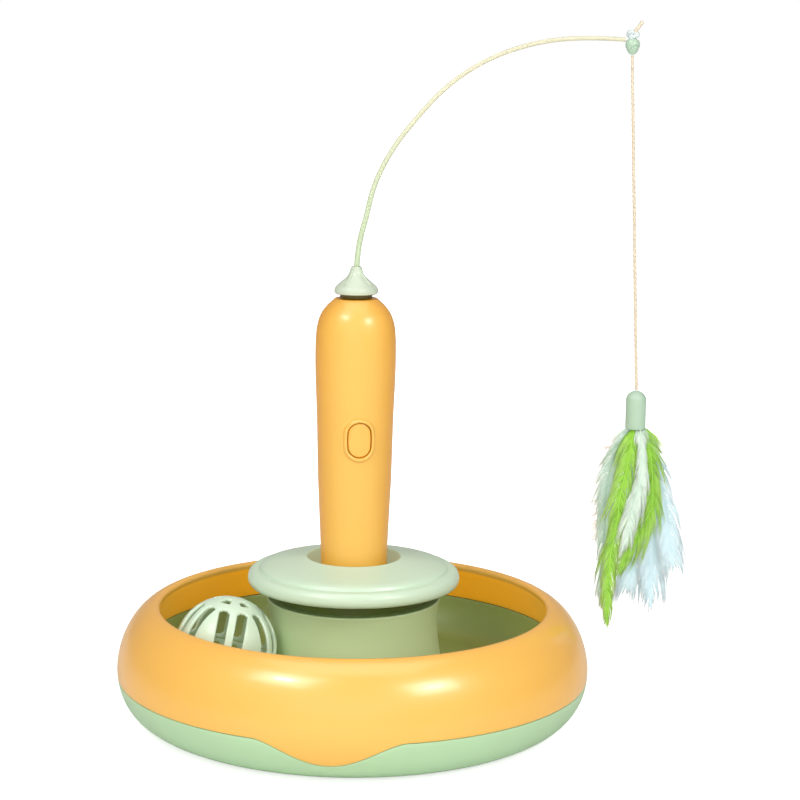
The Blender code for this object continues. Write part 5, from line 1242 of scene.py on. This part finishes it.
# %% Feather shape
FEATHER_LENGTH, FEATHER_WIDTH = 0.0985, 0.0140
FEATHERS = (
    ("lime_long", "lime_feather", LIME, -3,
     ((-0.012, 0), (-0.022, 0.05), (-0.045, 0.177), (-0.075, 0.314), (-0.088, 0.451), (-0.112, 0.588),
      (-0.122, 0.725), (-0.124, 0.862), (-0.122, 0.97)), (0.26, 0.32, 0.34, 0.28, 0.26, 0.19, 0.13, 0.02)),
    ("white_short", "white_feather", WHITE, -4,
     ((0.016, 0), (0.022, 0.07), (0.024, 0.177), (0.010, 0.277), (-0.022, 0.405), (-0.036, 0.497),
      (-0.070, 0.60)), (0.05, 0.12, 0.22, 0.26, 0.20, 0.14, 0.03)),
    ("lime_curled", "lime_feather", LIME, -1,
     ((0.020, 0), (0.055, 0.058), (0.078, 0.131), (0.090, 0.27), (0.093, 0.36), (0.068, 0.434),
      (0.030, 0.507), (-0.004, 0.58), (-0.040, 0.646), (-0.070, 0.72)),
     (0.18, 0.22, 0.26, 0.28, 0.30, 0.34, 0.26, 0.18, 0.12, 0.03)),
    ("mint_left", "white_feather", MINT_WHITE, 0,
     ((-0.014, 0), (-0.045, 0.05), (-0.095, 0.15), (-0.122, 0.27), (-0.130, 0.405), (-0.130, 0.54),
      (-0.134, 0.68), (-0.132, 0.80), (-0.124, 0.90)), (0.16, 0.26, 0.30, 0.26, 0.24, 0.20, 0.18, 0.12, 0.03)),
    ("blue_right", "blue_feather", PALE_BLUE, 1,
     ((0.020, 0), (0.060, 0.07), (0.105, 0.17), (0.140, 0.30), (0.166, 0.42), (0.182, 0.52), (0.200, 0.62),
      (0.222, 0.69)), (0.14, 0.22, 0.28, 0.34, 0.40, 0.34, 0.18, 0.03)),
    ("blue_middle", "blue_feather", PALE_BLUE, 2,
     ((0.012, 0), (0.045, 0.10), (0.085, 0.30), (0.106, 0.46), (0.110, 0.60), (0.110, 0.74), (0.110, 0.92)),
     (0.16, 0.28, 0.40, 0.48, 0.46, 0.26, 0.03)),
    ("blue_short", "blue_feather", PALE_BLUE, 3,
     ((0.008, 0), (0.010, 0.12), (0.018, 0.30), (0.036, 0.50), (0.030, 0.62), (0.012, 0.74), (-0.006, 0.80)),
     (0.16, 0.28, 0.40, 0.48, 0.42, 0.26, 0.03)),
)
LINE_STEPS, QUILL_STEPS, BLADE_END = 60, 24, 0.97
BARB_SLANT, BARB_SPACING, ROOT_SCATTER = 0.42, 0.00025, 0.0026
QUILL_SPACING, BLADE_SPACING, SLEEVE_LENGTH = 0.00092, 0.0016, 0.0180


def add_sliver(shape, points, radii, tone):
    """Tapered three-sided sliver along a few points; its UV holds the share along it and its tone."""
    uv_layer = shape.loops.layers.uv["strands"]
    rings = []
    count = len(points)
    for index, (point, radius) in enumerate(zip(points, radii)):
        along = (points[min(index + 1, count - 1)] - points[max(index - 1, 0)]).normalized()
        side = along.cross(Vector((0, 1, 0))).normalized()
        back = side.cross(along)
        rings.append([shape.verts.new(point + side * radius * a + back * radius * b)
                      for a, b in ((-1, 0.3), (1, 0.3), (0, -0.7))])
    for index, (low, high) in enumerate(zip(rings, rings[1:])):
        for step in range(3):
            after = (step + 1) % 3
            face = shape.faces.new((low[step], low[after], high[after], high[step]))
            for loop, share in zip(face.loops, (index, index, index + 1, index + 1)):
                loop[uv_layer].uv = (share / (count - 1), tone)
    for ring, share in ((rings[0][::-1], 0), (rings[-1], 1)):
        for loop in shape.faces.new(ring).loops:
            loop[uv_layer].uv = (share, tone)


def new_strands():
    shape = bmesh.new()
    shape.loops.layers.uv.new("strands")
    return shape


def piece_of(shape, name):
    """Turn the gathered slivers into a smooth-shaded piece."""
    mesh = bpy.data.meshes.new(name)
    shape.to_mesh(mesh)
    shape.free()
    mesh.shade_smooth()
    return add_piece(name, mesh)


def quill_place(line, layer, share):
    """Point of a feather's middle line, and its direction, at a share of its length."""
    place = share * (len(line) - 1)
    index = min(int(place), len(line) - 2)
    point = line[index].lerp(line[index + 1], place - index)
    opening = min(max(-point.z / SLEEVE_LENGTH, 0.0), 1.0)
    depth = layer * (QUILL_SPACING + (BLADE_SPACING - QUILL_SPACING) * opening)
    along = (line[index + 1] - line[index]).normalized()
    return FERRULE_FOOT + Vector((point.x, depth, point.z)), along


def make_feather(entry, seed):
    name, slot, finish, layer, middle, halves = entry
    chance = random.Random(seed)
    line = smooth_line([(FEATHER_LENGTH * side, 0, -FEATHER_LENGTH * down) for side, down in middle], LINE_STEPS)
    blades = [max(wide, 0) for wide, _ in smooth_pairs([(FEATHER_WIDTH * half, 0) for half in halves], LINE_STEPS)]
    shape = new_strands()
    quill = [quill_place(line, layer, share)[0] for share in spread(0, BLADE_END, QUILL_STEPS)]
    quill.insert(0, quill[0] + Vector((0, 0, 0.006)))
    add_sliver(shape, quill, spread(0.00055, 0.00012, QUILL_STEPS + 1), 0.1)
    length = sum((b - a).length for a, b in zip(line, line[1:]))
    count = round(length / BARB_SPACING)
    for way in (-1, 1):
        tuft_left = 0
        for index in range(count):
            share = BLADE_END * index / count
            if tuft_left == 0:
                tuft_left = chance.randint(7, 20)
                tuft_start, tuft_size = share, tuft_left / count
                tuft_tone = chance.random()
                tuft_reach = chance.uniform(0.72, 1.25)
                tuft_lift = chance.uniform(-0.0011, 0.0011)
            tuft_left -= 1
            root, along = quill_place(line, layer, share)
            blade = blades[int(share * (LINE_STEPS - 1))] * tuft_reach * chance.uniform(0.88, 1.08) + 0.0008
            blade *= 0.1 + 0.9 * min(1.0, (1 - share) * 5)
            gather = (tuft_start + tuft_size / 2 - share) * length * 0.75
            run = blade / BARB_SLANT * chance.uniform(0.85, 1.2) * (0.8 + 0.3 * tuft_reach) + 0.002 + gather
            out = Vector((-along.z, 0, along.x)) * way
            root = root + out * chance.uniform(0, ROOT_SCATTER) * max(0.0, 1 - share * 14)
            cup = chance.uniform(-0.0007, 0.0007) + tuft_lift
            points = [root + out * blade * (1 - (1 - t) ** 1.6) + along * run * t ** 1.35
                      + Vector((0, cup * t * t * (1 if t < 1 else 1.2), 0)) for t in (0, 0.3, 0.62, 1)]
            wide = chance.uniform(0.00015, 0.00022)
            tone = 0.4 * tuft_tone + 0.6 * chance.random()
            add_sliver(shape, points, (wide, wide * 0.95, wide * 0.7, wide * 0.12), tone)
    dress(piece_of(shape, f"feather_{name}_piece"), "teaser", slot, finish, f"feather_{name}")


for seed, entry in enumerate(FEATHERS, 11):
    make_feather(entry, seed)

# %% [markdown]
# ## Down
# Round the top of the bunch stands a halo of very fine pale down, wider than the blades. It is
# made of long thin hairs that start at the quills and curl outwards.

# %% Down round the top of the feathers
HAIR_RADII = (0.00009, 0.00009, 0.00008, 0.00006, 0.00002)


def make_down(name, way, count, seed):
    chance = random.Random(seed)
    shape = new_strands()
    for _ in range(count):
        start = chance.uniform(0.001, 0.052)
        root = FERRULE_FOOT + Vector((way * chance.uniform(0.3, 1.0) * (0.003 + 0.009 * min(1, start / 0.04)),
                                      chance.uniform(0.0050, 0.0065), -start))
        turn = chance.uniform(0.15, 1.15)
        reach = chance.uniform(0.007, 0.019)
        heading = Vector((way * math.cos(turn), chance.uniform(-0.05, 0.35), -math.sin(turn)))
        sag = Vector((chance.uniform(-0.2, 0.2), chance.uniform(-0.2, 0.2), chance.uniform(-0.45, 0.25)))
        points = [root + heading * reach * t + sag * reach * t * t for t in (0, 0.25, 0.5, 0.75, 1)]
        points = [point + Vector((0, 0, chance.uniform(-0.0004, 0.0004))) for point in points]
        add_sliver(shape, points, HAIR_RADII, chance.random())
    dress(piece_of(shape, name), "teaser", "white_feather", DOWN)


make_down("down_left_piece", -1, 420, 31)
make_down("down_right_piece", 1, 520, 32)

# %% [markdown]
# ## Lattice ball
# The ball is two snapped half shells with long slots between ribs and wide lands. A globe is
# halved, the slot cells are deleted, the thin skin is given a wall, and subdivision rounds all
# its edges, as moulded bars are.

# %% Ball halves
BALL_CENTRE, BALL_RADIUS, BALL_WALL = Vector((-0.06097, -0.02135, 0.0395)), 0.0232, 0.0016
BALL_CELL, SECTOR, BALL_FIRST_RIB, BALL_TIP = 2.5, 60, 25, (-6, 12)
BALL_SPLIT_GAP, RIB_HALF, SLOT_EDGE = 0.00015, 0.0019, 0.0066
STRAIGHT_FROM, STRAIGHT_UNTIL, EVEN_FROM = 50, 53, 60


def slot_cell(column, row):
    """Whether a cell of the globe is open: two slots beside each rib, an opening on each land.

    A sector has 24 columns of 2.5 degrees. The end rows are narrower, so the ends come out round.
    """
    part = column % 24
    if 2 <= row <= 20:
        first, last = (3, 5) if row in (2, 20) else (2, 6)
        return first <= part <= last or first <= 23 - part <= last
    return 26 <= row <= 29 and 6 <= part <= 17


def straight_slots(half):
    """Shift the columns so that ribs and slots keep one width from the middle up to their ends."""
    for vertex in half.data.vertices:
        flat = math.hypot(vertex.co.x, vertex.co.y)
        if flat < 0.001:
            continue
        turn = math.degrees(math.atan2(vertex.co.y, vertex.co.x)) % 360
        part = (turn % SECTOR) / BALL_CELL
        side = -1 if part > 12 else 1
        part = min(part, 24 - part)
        reach = max(flat, BALL_RADIUS * math.cos(math.radians(STRAIGHT_FROM)))
        rib, slot = (math.degrees(math.asin(width / reach)) for width in (RIB_HALF, SLOT_EDGE))
        if part <= 2:
            away = rib * part / 2
        elif part <= 7:
            away = rib + (slot - rib) * (part - 2) / 5
        else:
            away = slot + (SECTOR / 2 - slot) * (part - 7) / 5
        lift = math.degrees(math.atan2(abs(vertex.co.z), flat))
        even = min(max((lift - STRAIGHT_UNTIL) / (EVEN_FROM - STRAIGHT_UNTIL), 0), 1)
        away += (BALL_CELL * part - away) * even
        sector = math.floor(turn / SECTOR + (0 if side > 0 else 1))
        new_turn = math.radians(SECTOR * sector + side * away)
        vertex.co.x, vertex.co.y = flat * math.cos(new_turn), flat * math.sin(new_turn)


def make_ball_half(name, up):
    release()
    bpy.ops.mesh.primitive_uv_sphere_add(segments=round(360 / BALL_CELL), ring_count=round(180 / BALL_CELL),
                                         radius=BALL_RADIUS, location=(0, 0, 0))
    half = settle(name)
    bisect_at(half, (0, 0, up * BALL_SPLIT_GAP), (0, 0, -up), filled=False)
    edit(half, "DESELECT")
    bpy.ops.mesh.select_mode(type="FACE")
    bpy.ops.object.mode_set(mode="OBJECT")
    for face in half.data.polygons:
        centre = face.center
        turn = math.degrees(math.atan2(centre.y, centre.x)) % 360
        lift = math.degrees(math.asin(min(1.0, abs(centre.z) / centre.length)))
        face.select = slot_cell(int(turn / BALL_CELL), int(lift / BALL_CELL))
    bpy.ops.object.mode_set(mode="EDIT")
    bpy.ops.mesh.delete(type="FACE")
    bpy.ops.mesh.select_mode(type="VERT")
    close_up(half)
    straight_slots(half)
    wall = half.modifiers.new("wall", "SOLIDIFY")
    wall.thickness = BALL_WALL
    wall.offset = -1
    rounding = half.modifiers.new("rounding", "SUBSURF")
    rounding.levels = rounding.render_levels = 1
    apply_modifiers(half)
    half.rotation_euler = (0, 0, math.radians(BALL_FIRST_RIB))
    fix_place(half)
    half.rotation_euler = (*map(math.radians, BALL_TIP), 0)
    half.location = BALL_CENTRE
    return smooth(fix_place(half), 60)


for side, up in (("upper", 1), ("lower", -1)):
    dress(make_ball_half(f"ball_{side}_piece", up), "ball", "ivory_plastic", IVORY, f"ball_{side}_half")

# %% [markdown]
# ## Bell
# A small brass bell lies loose in the ball. It is a hollow turned shell with a sound hole
# underneath, and a raised seam runs round its middle.

# %% Bell
BELL_RADIUS, BELL_WALL, SEAM_RADIUS = 0.0065, 0.0005, 0.00665
BELL_CENTRE = BALL_CENTRE.z - BALL_RADIUS + BALL_WALL + 0.0006 + BELL_RADIUS


def bell_arc(radius, start, end, count):
    """Points of the shell, by their angle from the bottom."""
    return [(radius * math.sin(turn), BELL_CENTRE - radius * math.cos(turn))
            for turn in spread(math.radians(start), math.radians(end), count)]


seam = [(SEAM_RADIUS, BELL_CENTRE - 0.0002), (SEAM_RADIUS, BELL_CENTRE + 0.0002)]
outer = bell_arc(BELL_RADIUS, 13, 86, 12) + seam + bell_arc(BELL_RADIUS, 94, 176, 14)
bell = turned_band("bell_piece", outer + bell_arc(BELL_RADIUS - BELL_WALL, 174, 14, 14), 64,
                   (BALL_CENTRE.x, BALL_CENTRE.y))
dress(smooth(bell, 40), "bell", "brass", BRASS, "bell")

# %% [markdown]
# ## Works inside the wand
# The motor, gears, board, cells and contacts are simple shapes that the solids already have
# right, so they stay and only get their finishes.

# %% Finishes for the inner pieces
def make_board_finish():
    """Green lacquer over faint copper tracks."""
    finish, tree, shader = new_finish("green circuit board")
    tracks = add_node(tree, "ShaderNodeTexBrick", {
        "Vector": object_place(tree), "Scale": 260.0, "Color1": (0.02, 0.17, 0.06), "Color2": (0.02, 0.20, 0.07),
        "Mortar": (0.07, 0.34, 0.12)})
    fill(tree, shader, {"Base Color": tracks[0], "Roughness": rub(tree, 0.35, 0.1),
                        "Normal": emboss(tree, tracks[1], 0.00003)})
    return finish


def make_cell_finish():
    """Plain printed sleeve with a copper-coloured band at the upper end."""
    finish, tree, shader = new_finish("cell sleeve")
    height = add_node(tree, "ShaderNodeSeparateXYZ", {0: object_place(tree)})["Z"]
    band = calc(tree, "GREATER_THAN", height, 0.113)
    base = mix(tree, band, (0.06, 0.075, 0.10), (0.55, 0.30, 0.12))
    tone = use_effect(tree, TONE_DRIFT, {"Color": base, "Shade": (0.10, 0.11, 0.13), "Drift": 0.25})
    fill(tree, shader, {"Base Color": tone, "Roughness": rub(tree, 0.28, 0.1)})
    return finish


INNER = {
    IVORY: ("motor_end_cap", "switch_plunger"),
    STEEL: ("contact_bridge", "top_contact_1", "top_contact_2", "motor_can", "motor_shaft", "gear_axle"),
    BRASS: ("motor_pinion", "top_bush"),
    make_board_finish(): ("circuit_board",),
    make_cell_finish(): ("battery_1", "battery_2"),
    moulded_plastic("black plastic", (0.03, 0.03, 0.03), (0.06, 0.06, 0.06), 0.45, 0.5): ("switch_body",),
    moulded_plastic("natural gear plastic", (0.75, 0.74, 0.68), (0.66, 0.65, 0.58), 0.45): (
        "gearbox_lower_plate", "gearbox_upper_plate", "compound_gear", "output_gear"),
    moulded_plastic("red wire sleeve", (0.50, 0.03, 0.02), (0.38, 0.02, 0.015), 0.4, 0.5): ("motor_wire_red",),
    moulded_plastic("black wire sleeve", (0.02, 0.02, 0.02), (0.05, 0.05, 0.05), 0.4, 0.5): (
        "motor_wire_black",),
}
for finish, names in INNER.items():
    for name in names:
        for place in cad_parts[name].material_slots:
            place.material = finish
    print(finish.name, "on", ", ".join(names))
